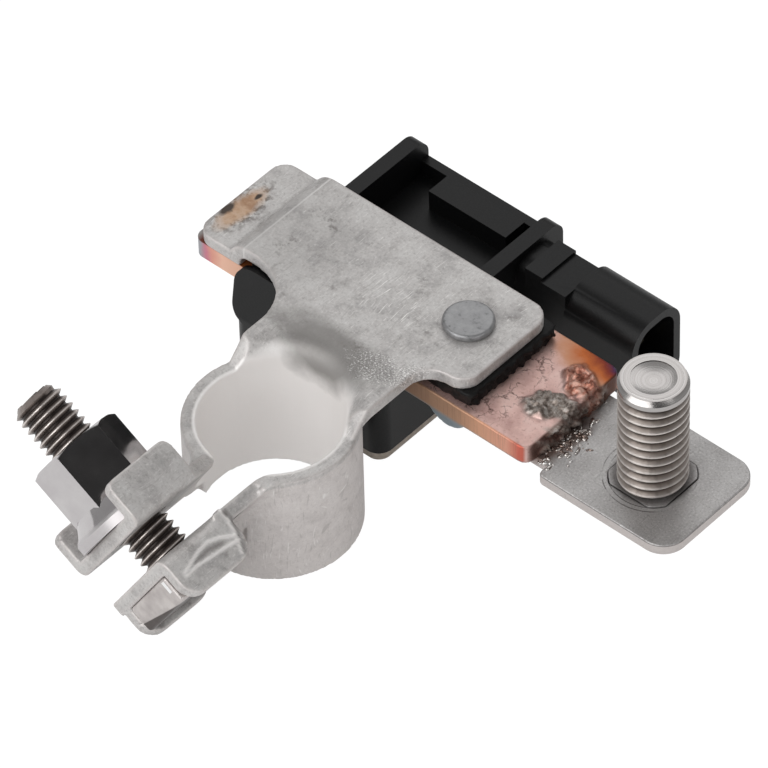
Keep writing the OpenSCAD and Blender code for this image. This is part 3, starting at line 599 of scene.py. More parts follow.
for cell, width in ((4.5, 0.03), (2.6, 0.04)):
    top = over(tree, top, "#45241f", hairlines(tree, place, cell, width), near_pad, 0.8)
print("right copper, top:", len(tree.nodes), "nodes")

# %% [markdown]
# ## Tempered corner
# Heat tempers copper in bands: blue and violet nearest to it, then red, orange and salmon. The
# bands follow the distance from the hot corner at the back, and noise makes them wander.

# %% Right copper: tempered corner
HOT_CORNER = (24.4, 31.0, 15.0)
away = distance_from(tree, place, HOT_CORNER, (0.45, 1.0, 1.0))
jitter = add_node(tree, "ShaderNodeMath", {0: wave, 1: 2.2 * MM, 2: away}, operation="MULTIPLY_ADD")
band = add_node(tree, "ShaderNodeMapRange", {"Value": jitter, "From Min": 1.1 * MM, "From Max": 6.4 * MM})
temper = add_node(tree, "ShaderNodeValToRGB", {"Fac": band},
                  [(0.0, "#5d6f86"), (0.12, "#4d2444"), (0.24, "#7c3020"), (0.40, "#b4612f"),
                   (0.66, "#c08a6c"), (1.0, "#d4b1a9")])
fade = add_node(tree, "ShaderNodeMapRange", {"Value": band, "From Min": 1.0, "From Max": 0.7})
top = over(tree, top, temper, fade)
print("right copper, corner at", HOT_CORNER, "mm")

# %% [markdown]
# ## Cut edges of the copper
# The front edge was sheared, which leaves fine upright lines. Its colour runs from light brown
# under the pad through salmon to red at the end. Its lower lobe is blue-grey, and the end face
# is burnt brown.

# %% Right copper: cut edges
PAD_SIDE, BAR_END = 3, 24.4
along = add_node(tree, "ShaderNodeMapRange", {"Value": x, "From Min": PAD_SIDE * MM, "From Max": 25 * MM})
cut = add_node(tree, "ShaderNodeValToRGB", {"Fac": along},
               [(0.25, "#b39077"), (0.5, "#bd9579"), (0.66, "#e2ac8c"), (0.84, "#e6a890"),
                (0.92, "#cf6a58"), (1.0, "#a85c48")])
shear = add_node(tree, "ShaderNodeMapping", {"Vector": place, "Scale": (1 / (0.18 * MM), 1, 1 / (6 * MM))})
lines = add_node(tree, "ShaderNodeTexNoise", {"Vector": shear, "Scale": 1.0, "Detail": 2})
sheared = add_node(tree, "ShaderNodeMapRange", {"Value": lines, "From Min": 0.5, "From Max": 0.75})
cut = over(tree, cut, "#8d6a58", sheared, 0.4)
lobe = add_node(tree, "ShaderNodeMapRange", {"Value": z, "From Min": 12.9 * MM, "From Max": 12.3 * MM})
cut = over(tree, cut, "#8f9aa1", lobe)
front = add_node(tree, "ShaderNodeMapRange", {"Value": y, "From Min": 15.15 * MM, "From Max": 14.95 * MM})
colour = over(tree, top, cut, front)
end = add_node(tree, "ShaderNodeMapRange", {"Value": x, "From Min": (BAR_END - 0.3) * MM,
                                            "From Max": BAR_END * MM})
colour = over(tree, colour, "#54362b", end, 0.9)
print("right copper, cut edges:", len(tree.nodes), "nodes")

# %% [markdown]
# ## Weld metal
# Two lumps of weld metal stand on the copper's end: a crust of grey slag and a fold of molten
# copper. The mesh carries where each lies, as the attributes slag and melt.

# %% Right copper: weld metal
crumbs = add_node(tree, "ShaderNodeTexNoise", {"Vector": place, "Scale": 1 / (0.7 * MM), "Detail": 6,
                                               "Roughness": 0.7})
slag = add_node(tree, "ShaderNodeValToRGB", {"Fac": crumbs},
                [(0.34, "#4f443d"), (0.48, "#8d827a"), (0.62, "#b9b2ac")])
melt = add_node(tree, "ShaderNodeValToRGB", {"Fac": crumbs},
                [(0.36, "#5e3a2f"), (0.47, "#a86c59"), (0.6, "#c29a8b")])
for name, shade in (("slag", slag), ("melt", melt)):
    where = add_node(tree, "ShaderNodeAttribute", attribute_name=name).outputs["Fac"]
    colour = over(tree, colour, shade, where)
feed(tree, shader, colour, crumbs, 0.05)

# %% [markdown]
# ## Copper of the post's side
# The other copper end shows under the lug. Its front edge runs from grey tin through pink to
# salmon, and its top, where it can be seen, is burnt brown to orange. The colours follow the
# length of the bar, with a little wander.

# %% Left copper
copper_left, tree, shader, place = start_material("heat_tinted_copper_left", metallic=0.6, roughness=0.4)
x, y, z = add_node(tree, "ShaderNodeSeparateXYZ", {0: place}).outputs
wave = add_node(tree, "ShaderNodeTexNoise", {"Vector": place, "Scale": 1 / (1.5 * MM), "Detail": 5})
wander = add_node(tree, "ShaderNodeMath", {0: wave, 1: 1.2 * MM, 2: x}, operation="MULTIPLY_ADD")
along = add_node(tree, "ShaderNodeMapRange", {"Value": wander, "From Min": -26 * MM, "From Max": -18 * MM})
cut = add_node(tree, "ShaderNodeValToRGB", {"Fac": along},
               [(0.0, "#97989c"), (0.2, "#a3a2a8"), (0.31, "#cf7f92"), (0.42, "#e2a08e"),
                (0.6, "#efc0a8"), (1.0, "#e6b69c")])
top = add_node(tree, "ShaderNodeValToRGB", {"Fac": along},
               [(0.1, "#8d8a88"), (0.2, "#5b2a1e"), (0.4, "#7c3a1e"), (0.7, "#b2632c"), (1.0, "#9a5a30")])
upper = add_node(tree, "ShaderNodeMapRange", {"Value": z, "From Min": 14.85 * MM, "From Max": 14.95 * MM})
feed(tree, shader, over(tree, cut, top, upper), wave, 0.03)

# %% [markdown]
# ## Ground sheet
# The ground plate is galvanised sheet: an even matte grey with fine dark and light specks and a
# few handling marks. Galvanised steel is duller than bare metal, so it is three quarters
# metallic and rather rough.

# %% Ground zinc: sheet
ground_zinc, tree, shader, place = start_material("matte_zinc_sheet", metallic=0.75, roughness=0.46)
clouds = add_node(tree, "ShaderNodeTexNoise", {"Vector": place, "Scale": 1 / (4 * MM), "Detail": 6})
colour = add_node(tree, "ShaderNodeValToRGB", {"Fac": clouds}, [(0.3, "#aba8a7"), (0.7, "#c3c1c0")])
specks = add_node(tree, "ShaderNodeTexNoise", {"Vector": place, "Scale": 1 / (0.25 * MM), "Detail": 4,
                                               "Roughness": 0.7})
dark = add_node(tree, "ShaderNodeMapRange", {"Value": specks, "From Min": 0.53, "From Max": 0.68})
light = add_node(tree, "ShaderNodeMapRange", {"Value": specks, "From Min": 0.45, "From Max": 0.34})
colour = over(tree, colour, "#77736f", dark, 0.55)
colour = over(tree, colour, "#e4e2e0", light, 0.5)
colour = over(tree, colour, "#dddbd9", scratches(tree, place, 35, 0.12, 3, 0.68), 0.5)
colour = over(tree, colour, "#8a8683", scratches(tree, place, -48, 0.14, 4, 0.66), 0.5)
print("ground sheet, specks and scratches:", len(tree.nodes), "nodes")

# %% [markdown]
# ## Edge, pressed rings and burnt zinc
# The sheared edge is paler than the sheet, with a dark line of burr over it. The stud's
# serrations were forced in, which pressed two broken rings into the sheet round its neck. Round
# the foot of the thread a painted shade darkens the sheet. Near the weld the sheet is browned by heat.

# %% Ground zinc: edge, rings and heat
PLATE_TOP = 12.5
PRESSED_RINGS = (5.0, 5.6)
z = add_node(tree, "ShaderNodeSeparateXYZ", {0: place}).outputs["Z"]
cut = add_node(tree, "ShaderNodeMapRange", {"Value": z, "From Min": (PLATE_TOP - 0.15) * MM,
                                            "From Max": (PLATE_TOP - 0.25) * MM})
colour = over(tree, colour, "#cfc7c4", cut, 0.8)
burr = add_node(tree, "ShaderNodeMath", {0: z, 1: (PLATE_TOP - 0.17) * MM, 2: 0.06 * MM}, operation="COMPARE")
colour = over(tree, colour, "#6a6563", burr, 0.6)
out = distance_from(tree, place, STUD_MIDDLE)
patchy = add_node(tree, "ShaderNodeMapRange", {"Value": clouds, "From Min": 0.44, "From Max": 0.54})
for radius in PRESSED_RINGS:
    ring = add_node(tree, "ShaderNodeMath", {0: out, 1: radius * MM, 2: 0.07 * MM}, operation="COMPARE")
    colour = over(tree, colour, "#4b4644", ring, patchy, 0.7)
# painted shade round the foot of the thread
thread_foot_shade = add_node(tree, "ShaderNodeMapRange", {"Value": out, "From Min": 5.0 * MM, "From Max": 4.3 * MM})
colour = over(tree, colour, "#4b4543", thread_foot_shade, 0.7)
colour = over(tree, colour, "#8a6f64", spot(tree, place, (24.2, 20, PLATE_TOP), (2.6, 5.5, 2), 1.0), 0.8)
colour = over(tree, colour, "#5f504a", spot(tree, place, (25.2, 22.5, PLATE_TOP), (1.6, 3, 2), 0.8), 0.7)
feed(tree, shader, colour, specks, 0.05)

# %% [markdown]
# ## Weld spatter
# Drops of weld metal froze so fast that they are bright and smooth, with brown oxide in patches.
# High metal and low roughness make each one a spark beside the matte sheet.

# %% Spatter metal
spatter_metal, tree, shader, place = start_material("bright_weld_spatter", metallic=0.95, roughness=0.22)
melted = add_node(tree, "ShaderNodeTexNoise", {"Vector": place, "Scale": 1 / (1.1 * MM), "Detail": 4})
colour = add_node(tree, "ShaderNodeValToRGB", {"Fac": melted},
                  [(0.4, "#8b7a72"), (0.52, "#cfcac6"), (0.7, "#e6e4e2")])
feed(tree, shader, colour)

# %% [markdown]
# ## Plastics
# The housing is glass-filled polyamide: black, evenly matte, with a soft sheen from the mould's
# fine texture and a hairline where the mould closed. The pad is a matte film. The cover is
# natural, unpigmented polyamide, beige and warm. The board, the chip and the capacitors hide
# inside and keep the plain shades of laminate, epoxy and ceramic.

# %% Plastics
PLASTIC_SPECULAR = 0.25


def plastic(name, deep, pale, rough, grit_mm, depth_mm, parting_z=None):
    """Returns a moulded finish: two close shades on a fine grit, and a parting line at a height."""
    material, tree, shader, place = start_material(name, roughness=rough)
    shader.inputs["Specular IOR Level"].default_value = PLASTIC_SPECULAR
    grit = add_node(tree, "ShaderNodeTexNoise", {"Vector": place, "Scale": 1 / (grit_mm * MM), "Detail": 4})
    colour = add_node(tree, "ShaderNodeValToRGB", {"Fac": grit}, [(0.35, deep), (0.65, pale)])
    if parting_z:
        height = add_node(tree, "ShaderNodeSeparateXYZ", {0: place}).outputs["Z"]
        line = add_node(tree, "ShaderNodeMath", {0: height, 1: parting_z * MM, 2: 0.07 * MM},
                        operation="COMPARE")
        colour = over(tree, colour, "#0c0c0d", line)
    feed(tree, shader, colour, grit, depth_mm)
    return material


housing_black = plastic("black_glass_filled_polyamide", "#080809", "#101011", 0.38, 0.25, 0.008, 5.8)
pad_black = plastic("black_insulating_film", "#060606", "#0f0e0e", 0.5, 0.4, 0.03)
bush_black = plastic("dark_moulded_bush", "#2a2a2c", "#333336", 0.5, 0.4, 0.01)
cover_natural = plastic("natural_polyamide_cover", "#b9aea2", "#cbc1b6", 0.5, 0.6, 0.01)
board_green = plastic("green_board_laminate", "#1f4d2a", "#2b6237", 0.45, 0.5, 0.01)
chip_black = plastic("moulded_chip_epoxy", "#161617", "#1f1f21", 0.55, 0.3, 0.01)
cap_ceramic = plastic("capacitor_ceramic", "#9c8259", "#b3976a", 0.5, 0.3, 0.01)

# %% [markdown]
# ## Small metal parts
# The resistor strip is a rolled copper-manganese alloy, grey-brown with long rolling marks. The
# pins are tinned brass, smooth, with the yellow showing through. The rivet is zinc-plated steel
# that the setting tool has worn: grey, half matte and blotchy.

# %% Resistor, pins and rivet
resistor_alloy, tree, shader, place = start_material("resistor_alloy", metallic=0.9, roughness=0.4)
roll = add_node(tree, "ShaderNodeMapping", {"Vector": place, "Scale": (1 / (5 * MM), 1 / (0.15 * MM), 1)})
marks = add_node(tree, "ShaderNodeTexNoise", {"Vector": roll, "Scale": 1.0, "Detail": 3})
feed(tree, shader, add_node(tree, "ShaderNodeValToRGB", {"Fac": marks}, [(0.3, "#75665d"), (0.7, "#978a80")]))

pin_tin, tree, shader, place = start_material("tinned_pin_brass", metallic=1.0, roughness=0.25)
wear = add_node(tree, "ShaderNodeTexNoise", {"Vector": place, "Scale": 1 / (0.6 * MM), "Detail": 3})
feed(tree, shader, add_node(tree, "ShaderNodeValToRGB", {"Fac": wear}, [(0.3, "#b3a98c"), (0.7, "#cfc8b2")]))

rivet_steel, tree, shader, place = start_material("zinc_rivet_steel", metallic=0.7, roughness=0.4)
wear = add_node(tree, "ShaderNodeTexNoise", {"Vector": place, "Scale": 1 / (1.0 * MM), "Detail": 7,
                                             "Roughness": 0.7})
colour = add_node(tree, "ShaderNodeValToRGB", {"Fac": wear},
                  [(0.32, "#6e6e70"), (0.44, "#929293"), (0.66, "#9e9e9f")])
feed(tree, shader, colour, wear, 0.05)

# %% [markdown]
# ## Nodes that need no dressing
# These parts are small, plain or hidden, and their solids already have the right shape. Each
# keeps its CAD mesh and only gets its finish.

# %% Finish the plain nodes
FINISH = {
    "shunt_copper_left": copper_left, "shunt_resistor": resistor_alloy, "rivet_bush": bush_black,
    "base_cover": cover_natural, "circuit_board": board_green, "sensor_chip": chip_black,
    "protection_diode": chip_black, "supply_capacitor": cap_ceramic, "bus_capacitor": cap_ceramic,
    "sense_pin_left": pin_tin, "sense_pin_right": pin_tin, "bus_pin": pin_tin, "supply_pin": pin_tin,
}
for node, material in FINISH.items():
    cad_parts[node].material_slots[0].material = material
print("plain nodes with a finish:", len(FINISH))

# %% [markdown]
# ## Dressed copies
# A real pressed or moulded edge is never sharp, and it is the rounded edge that catches the
# light. A CAD node's mesh isn't changed, so a copy of it is merged, cleared of its flat
# triangles, and bevelled along its sharp edges. Then it stands in for the node.

# %% Copy, bevel and join helpers
def edit_all(piece, operator, **settings):
    """Runs one edit-mode operator on the whole of a piece."""
    take(piece)
    bpy.ops.object.mode_set(mode="EDIT")
    bpy.ops.mesh.select_all(action="SELECT")
    operator(**settings)
    bpy.ops.object.mode_set(mode="OBJECT")


def copy_of(node, name, dissolve=True):
    """Returns a merged copy of a CAD node, and clears its flat triangles unless told not to."""
    take(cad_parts[node])
    bpy.ops.object.duplicate()
    piece = bpy.context.object
    piece.name = name
    bpy.ops.object.mode_set(mode="EDIT")
    bpy.ops.mesh.select_all(action="SELECT")
    bpy.ops.mesh.remove_doubles(threshold=0.002 * MM)
    if dissolve:
        bpy.ops.mesh.dissolve_limited(angle_limit=math.radians(0.5))
    bpy.ops.object.mode_set(mode="OBJECT")
    return piece


def apply_modifier(piece, kind, **settings):
    take(piece)
    modifier = piece.modifiers.new(kind.lower(), kind)
    for name, value in settings.items():
        setattr(modifier, name, value)
    bpy.ops.object.modifier_apply(modifier=modifier.name)


def join(pieces, name):
    deselect()
    for piece in pieces:
        piece.select_set(True)
    bpy.context.view_layer.objects.active = pieces[0]
    bpy.ops.object.join()
    pieces[0].name = name
    return pieces[0]


def round_edges(piece, width_mm, angle=35, segments=2):
    """Bevels the edges that are sharper than an angle, and keeps the flat faces flat to the eye."""
    apply_modifier(piece, "BEVEL", width=width_mm * MM, segments=segments, limit_method="ANGLE",
                   angle_limit=math.radians(angle), use_clamp_overlap=True, miter_outer="MITER_ARC")
    take(piece)
    bpy.ops.object.shade_smooth_by_angle(angle=math.radians(40))
    apply_modifier(piece, "WEIGHTED_NORMAL", keep_sharp=True, weight=100)


print("plain sharp nodes to copy:", len(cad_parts) - len(FINISH))

# %% [markdown]
# ## Standing in for a node
# One function says them all, so that none is forgotten.


def stand_in(piece, node, body=BODY):
    """Lets a finished piece stand in for its CAD node, on the body that carries it."""
    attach(piece, body)
    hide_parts(node)
    piece.data.calc_loop_triangles()
    print(piece.name, "triangles:", len(piece.data.loop_triangles))


def give_materials(piece, *materials):
    piece.data.materials.clear()
    for material in materials:
        piece.data.materials.append(material)


def finish(piece, node, material, body=BODY):
    give_materials(piece, material)
    stand_in(piece, node, body)


# %% [markdown]
# ## Rounds that touch the ring and an ear
# The press draws the ring's wall outwards into the two ears, in one flowing bend. On any level
# that bend is a circle that touches the ring's circle and the ear's plane, which leans with the
# bolt. Two small functions find that circle, in millimetres.

# %% Planes and rounds of the ears
SHEET = 1.7
RING_INSIDE = 8.35
RING_OUTSIDE = RING_INSIDE + SHEET
RING_H = 15.4
NUT_FACE, HEAD_FACE = 2.2, -2.0


def face_x(station, z):
    """Returns the X where the plane across the bolt at a station cuts a level."""
    rise = z - BOLT_POINT.z - station * math.sin(BOLT_TILT)
    return BOLT_POINT.x - station * math.cos(BOLT_TILT) + rise * math.tan(BOLT_TILT)


def bend_centre(station, side, z, ring_r, radius):
    """Returns the centre of a round that touches both the ring's circle and an ear's plane."""
    x = face_x(station, z) + side * radius
    return Vector((x, -math.sqrt(max(0, (ring_r + radius) ** 2 - x ** 2))))


print("gap at half height, X:", [round(face_x(s, RING_H / 2), 2) for s in (NUT_FACE, HEAD_FACE)])

# %% [markdown]
# ## Filler for the outer bend
# The hollow outside, between the ring and an ear, is filled with a wedge whose one side is that
# round. It starts as a circle that is set on the lowest outline, and it is extruded level by
# level, because the round moves along as the ear leans.

# %% Filler of a hollow
def hollow_outline(station, side, z, radius, steps=10):
    """Returns the filler's outline at a level: the hollow's arc, closed inside the sheet."""
    centre = bend_centre(station, side, z, RING_OUTSIDE, radius)
    face = centre.x - side * radius
    to_ring = centre * (RING_OUTSIDE / (RING_OUTSIDE + radius)) - centre
    start = math.atan2(0, -side)
    sweep = (math.atan2(to_ring.y, to_ring.x) - start + math.pi) % math.tau - math.pi
    turns = [start + sweep * i / steps for i in range(steps + 1)]
    arc = [centre + radius * Vector((math.cos(turn), math.sin(turn))) for turn in turns]
    inner = RING_OUTSIDE - SHEET / 2
    deep = face - side * SHEET / 2
    closing = [centre * (inner / (RING_OUTSIDE + radius)), Vector((deep, -math.sqrt(inner ** 2 - deep ** 2))),
               Vector((deep, centre.y))]
    return [Vector((point.x, point.y, z)) * MM for point in arc + closing]


def hollow_filler(station, side, bottom, top, radius, levels=12):
    """Builds the filler from its lowest outline upwards, one extrusion a level."""
    outline = hollow_outline(station, side, bottom, radius)
    deselect()
    bpy.ops.mesh.primitive_circle_add(vertices=len(outline), fill_type="NGON")
    filler = bpy.context.object
    for vertex, point in zip(filler.data.vertices, outline):
        vertex.co = point
    for level in range(1, levels + 1):
        above = hollow_outline(station, side, bottom + (top - bottom) * level / levels, radius)
        bpy.ops.object.mode_set(mode="EDIT")
        if level == 1:
            bpy.ops.mesh.select_all(action="SELECT")
        bpy.ops.mesh.extrude_region_move()
        bpy.ops.object.mode_set(mode="OBJECT")
        for vertex in [v for v in filler.data.vertices if v.select]:
            nearest = min(range(len(outline)), key=lambda i: (outline[i] - vertex.co).length)
            vertex.co = above[nearest]
        outline = above
    edit_all(filler, bpy.ops.mesh.normals_make_consistent, inside=False)
    print("filler with", len(filler.data.polygons), "faces")
    return filler


# %% [markdown]
# ## Cut the gap through
# The clamp's copy gets its gap cut down to the last of the wall, with a box that leans like the
# bolt. The box is a cube whose corners are put in place one by one.

# %% Clamp: gap
GAP_BACK, GAP_FRONT = -2.8, -30
GAP_HEIGHT = 60
clamp = copy_of("post_clamp", "pressed_clamp", dissolve=False)
deselect()
bpy.ops.mesh.primitive_cube_add(size=1)
slot = bpy.context.object
for vertex in slot.data.vertices:
    height, y, station = vertex.co
    middle = (NUT_FACE + HEAD_FACE) / 2
    corner = Vector((height * GAP_HEIGHT, 0, middle + station * (NUT_FACE - HEAD_FACE)))
    vertex.co = (BOLT_AXES @ corner + BOLT_POINT) * MM
    vertex.co.y = (GAP_BACK if y > 0 else GAP_FRONT) * MM
apply_modifier(clamp, "BOOLEAN", object=slot, operation="DIFFERENCE", solver="EXACT")
bpy.data.objects.remove(slot)
print("gap cut to Y", GAP_BACK, "mm, faces:", len(clamp.data.polygons))

# %% [markdown]
# ## Melt the clamp into one skin
# One voxel remesh melts the clamp and its fillers into a single skin. Then the points where the
# ring's inside turns into the gap are pulled back to a round, which grows with the height, and
# a light smoothing gives the soft edges of blanked and tinned sheet.

# %% Clamp: skin
def round_gap_corner(point, station, side, radius):
    """Pulls a point back to the round between the ring's inside and the gap, in millimetres."""
    from_bolt = point - BOLT_POINT
    if (from_bolt.z * math.sin(BOLT_TILT) - from_bolt.x * math.cos(BOLT_TILT)) * side > 0:
        return point
    centre = bend_centre(station, side, point.z, RING_INSIDE, radius)
    offset = point.xy - centre
    if centre.y > -2 or not radius < offset.length < 2.5 * radius:
        return point
    to_ring = -centre.normalized()
    share_ring = offset.y / to_ring.y
    share_gap = side * (share_ring * to_ring.x - offset.x)
    if share_ring <= 0 or share_gap <= 0:
        return point
    pulled = centre + offset.normalized() * radius
    return Vector((pulled.x, pulled.y, point.z))


BEND_RADIUS = 3
HEAD_BEND_FROM, NUT_BEND_FROM = 2.8, 5.4
HEAD_CORNER, HEAD_CORNER_GROWTH = 0.5, 3.3
NUT_CORNER, NUT_CORNER_GROWTH = 1.1, 1.0
CORNER_FROM, CORNER_CLIMB = 2.5, 3
SKIN_VOXEL = 0.27
fillers = [hollow_filler(HEAD_FACE - SHEET, 1, HEAD_BEND_FROM, RING_H, BEND_RADIUS),
           hollow_filler(NUT_FACE + SHEET, -1, NUT_BEND_FROM, RING_H, BEND_RADIUS)]
clamp = join([clamp] + fillers, "pressed_clamp")
take(clamp)
clamp.data.remesh_voxel_size = SKIN_VOXEL * MM
bpy.ops.object.voxel_remesh()
for vertex in clamp.data.vertices:
    point = vertex.co / MM
    if point.y < -3 and abs(point.x) < 12:
        full = min(1, max(0, (point.z - CORNER_FROM) / CORNER_CLIMB))
        point = round_gap_corner(point, HEAD_FACE, 1, HEAD_CORNER + HEAD_CORNER_GROWTH * full)
        point = round_gap_corner(point, NUT_FACE, -1, NUT_CORNER + NUT_CORNER_GROWTH * full)
        vertex.co = point * MM
apply_modifier(clamp, "SMOOTH", factor=0.5, iterations=5)
print("clamp's skin:", len(clamp.data.vertices), "points")

# %% [markdown]
# ## Folds in the right ear
# Where the right ear was folded, the sheet stands up in sharp low ridges: one along its end, and
# two that frame a lens-shaped dent. Each is a path drawn on the ear, in Y and in the station
# along the bolt. Points near a path are pushed out. The mesh keeps a painted highlight on the
# ridges and a painted shade beside them, for the tin.

# %% Clamp: folds
END_RIDGE = [(-13.9, -1.9), (-14.0, -3.5), (-14.3, -4.9), (-15.3, -7.2)]
UPPER_CREASE = [(-22.4, -5.0), (-19.5, -4.1), (-17.7, -3.9), (-16.1, -4.4), (-14.6, -5.2)]
LOWER_CREASE = [(-22.4, -5.3), (-20.4, -5.2), (-18.7, -5.4), (-16.5, -5.6), (-14.4, -5.9)]
LENS_MIDDLE = [(-20.4, -4.75), (-18.2, -4.6), (-16.3, -5.0)]
RING_SIDE = [(-13.4, -2.4), (-13.5, -3.6), (-13.8, -4.9), (-14.8, -7.2)]
RIDGE_WIDTH, RIDGE_RISE, HOLLOW_WIDTH = 0.18, 0.16, 0.3
EAR_HEIGHT, EAR_BACK, EAR_STATION = 5.5, -13, -1.5


def along_bolt(point):
    """Returns a point's height over the bolt, its Y, and its station along the bolt, in millimetres."""
    offset = point - BOLT_POINT
    height = offset.x * math.sin(BOLT_TILT) + offset.z * math.cos(BOLT_TILT)
    return height, point.y, offset.z * math.sin(BOLT_TILT) - offset.x * math.cos(BOLT_TILT)


def path_distance(point, *paths):
    """Returns the distance from a flat point to the nearest of some paths of straight lines."""
    best = math.inf
    for path in paths:
        for a, b in zip(path, path[1:]):
            line = Vector(b) - Vector(a)
            share = min(1, max(0, (point - Vector(a)).dot(line) / line.length_squared))
            best = min(best, (point - Vector(a) - line * share).length)
    return best


fold_highlight_layer = clamp.data.attributes.new("fold", "FLOAT", "POINT")
fold_shade_layer = clamp.data.attributes.new("hollow", "FLOAT", "POINT")
normals = [vertex.normal.copy() for vertex in clamp.data.vertices]
for vertex in clamp.data.vertices:
    height, y, station = along_bolt(vertex.co / MM)
    if height > EAR_HEIGHT and y < EAR_BACK and station < EAR_STATION:
        flat = Vector((y, station))
        ridge = math.exp(-(path_distance(flat, END_RIDGE, UPPER_CREASE, LOWER_CREASE) / RIDGE_WIDTH) ** 2)
        vertex.co += normals[vertex.index] * RIDGE_RISE * ridge * MM
        # painted highlight on the ridge
        fold_highlight_layer.data[vertex.index].value = ridge
        # painted shade beside the ridges
        hollow = math.exp(-(path_distance(flat, LENS_MIDDLE, RING_SIDE) / HOLLOW_WIDTH) ** 2)
        fold_shade_layer.data[vertex.index].value = hollow * (1 - ridge)
print("points on a fold:", sum(mark.value > 0.5 for mark in fold_highlight_layer.data))

# %% [markdown]
# ## Rims of the clamp
# A point on an outer edge stands out from the middle of its neighbours. That distance, as a
# share of a twentieth of a millimetre, becomes the attribute rim, which the tin reads to rub the
# edges bright.

# %% Clamp: rims
RIM_SPAN = 0.05


def mark_rims(piece, span_mm):
    """Stores how far each point stands out from its neighbours, which finds the outer edges."""
    mesh = piece.data
    total = [Vector() for _ in mesh.vertices]
    count = [0] * len(mesh.vertices)
    for edge in mesh.edges:
        a, b = edge.vertices
        total[a] += mesh.vertices[b].co
        total[b] += mesh.vertices[a].co
        count[a] += 1
        count[b] += 1
    layer = mesh.attributes.new("rim", "FLOAT", "POINT")
    for vertex in mesh.vertices:
        i = vertex.index
        out = (vertex.co - total[i] / max(1, count[i])).dot(vertex.normal) / (span_mm * MM)
        layer.data[i].value = min(1, max(0, out))


mark_rims(clamp, RIM_SPAN)
take(clamp)
bpy.ops.object.shade_smooth()
finish(clamp, "post_clamp", tin)

# %% [markdown]
# ## Housing, rivet and nut
# These three have the right shape in the CAD, and a bevel is all that they lack. The moulded
# case has small even rounds, and the setting tool rolls the rivet's rim. The nut's edges stay
# crisp, so they get the finest bevel, at a smaller angle that also takes its chamfer.

# %% Housing, rivet and nut
case = copy_of("housing", "moulded_housing")
round_edges(case, 0.3)
finish(case, "housing", housing_black)

rivet = copy_of("rivet", "rivet_with_round_head")
round_edges(rivet, 0.4, segments=3)
finish(rivet, "rivet", rivet_steel)

nut = copy_of("clamp_nut", "polished_flange_nut")
round_edges(nut, 0.22, angle=20)
finish(nut, "clamp_nut", nut_zinc, body="nut")

# %% [markdown]
# ## Threads
# A thread is one profile that climbs one pitch a turn. The profile starts as a small ring of
# points, which are set on root, flank and crest. The Screw modifier sweeps it upwards, and two
# flat cuts trim the ends. Points near the tip are pulled in to the chamfer's cone.

# %% Threaded rod helper
THREAD_STEPS = 48


def keep_side(piece, height, side):
    """Keeps what lies above (side -1) or below (side 1) a level, and fills the cut's outline."""
    edit_all(piece, bpy.ops.mesh.bisect, plane_co=(0, 0, height * MM), plane_no=(0, 0, side), use_fill=True,
             clear_outer=True)


def set_crest(piece, value):
    """Gives a whole piece one crest value, where it shares a material with a thread."""
    layer = piece.data.attributes.new("crest", "FLOAT", "POINT")
    layer.data.foreach_set("value", [value] * len(piece.data.vertices))


def threaded_rod(name, radius, pitch, bottom, top, chamfer):
    """Builds a rolled thread along Z, with sizes in millimetres and a crest value in its mesh."""
    root = radius - 0.55 * pitch
    profile = [(root, 0), (root, 0.1), (radius, 0.44), (radius, 0.56), (root, 0.9), (root, 1)]
    deselect()
    bpy.ops.mesh.primitive_circle_add(vertices=len(profile), fill_type="NOTHING")
    rod = bpy.context.object
    rod.name = name
    for vertex, (out, rise) in zip(rod.data.vertices, profile):
        vertex.co = Vector((out, 0, bottom - 2 * pitch + rise * pitch)) * MM
        vertex.select = False
    for edge in rod.data.edges:
        edge.select = set(edge.vertices) == {0, len(profile) - 1}
    bpy.ops.object.mode_set(mode="EDIT")
    bpy.ops.mesh.select_mode(type="EDGE")
    bpy.ops.mesh.delete(type="EDGE")
    bpy.ops.object.mode_set(mode="OBJECT")
    turns = math.ceil((top - bottom) / pitch) + 4
    apply_modifier(rod, "SCREW", screw_offset=pitch * MM, iterations=turns, steps=THREAD_STEPS,
                   render_steps=THREAD_STEPS, use_merge_vertices=True, merge_threshold=0.001 * MM)
    keep_side(rod, bottom, -1)
    keep_side(rod, top, 1)
    edit_all(rod, bpy.ops.mesh.normals_make_consistent, inside=False)
    crest = rod.data.attributes.new("crest", "FLOAT", "POINT")
    for vertex in rod.data.vertices:
        out = vertex.co.xy.length / MM
        limit = radius - max(0, vertex.co.z / MM - (top - chamfer))
        if out > limit:
            vertex.co.xy *= limit / out
        value = max(0, (min(out, limit) - root) / (radius - root))
        # the chamfered tip is painted bright, as a painted highlight
        crest.data[vertex.index].value = value if limit == radius else max(0.7, value)
    take(rod)
    bpy.ops.object.shade_smooth_by_angle(angle=math.radians(25))
    print(name, "turns:", round((top - bottom) / pitch, 1))
    return rod


# %% [markdown]
# ## Foot and end of the stud
# The stud is built of three pieces: its square foot, its thread and its turned end. Foot and end
# are cut out of copies of the CAD stud. The foot's neck is pressed almost flush with the sheet,
# and the end is dished in three shallow steps, as a lathe's cut leaves it.

# %% Stud: foot and end
NECK_TOP = 13.3
NECK_SHARE = 0.15
END_H = 1.3
DISH_STEPS = (0.5, 0.9, 1.0)
DISH_DEPTH = -0.06
stud_low, stud_high = map(Vector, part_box("ground_stud"))
stud_top = stud_high.z / MM
foot = copy_of("ground_stud", "stud_foot")
keep_side(foot, NECK_TOP + 0.3, 1)
for vertex in foot.data.vertices:
    rise = vertex.co.z - PLATE_TOP * MM
    if rise > 0:
        vertex.co.z = PLATE_TOP * MM + rise * NECK_SHARE
round_edges(foot, 0.2)
set_crest(foot, 0.6)

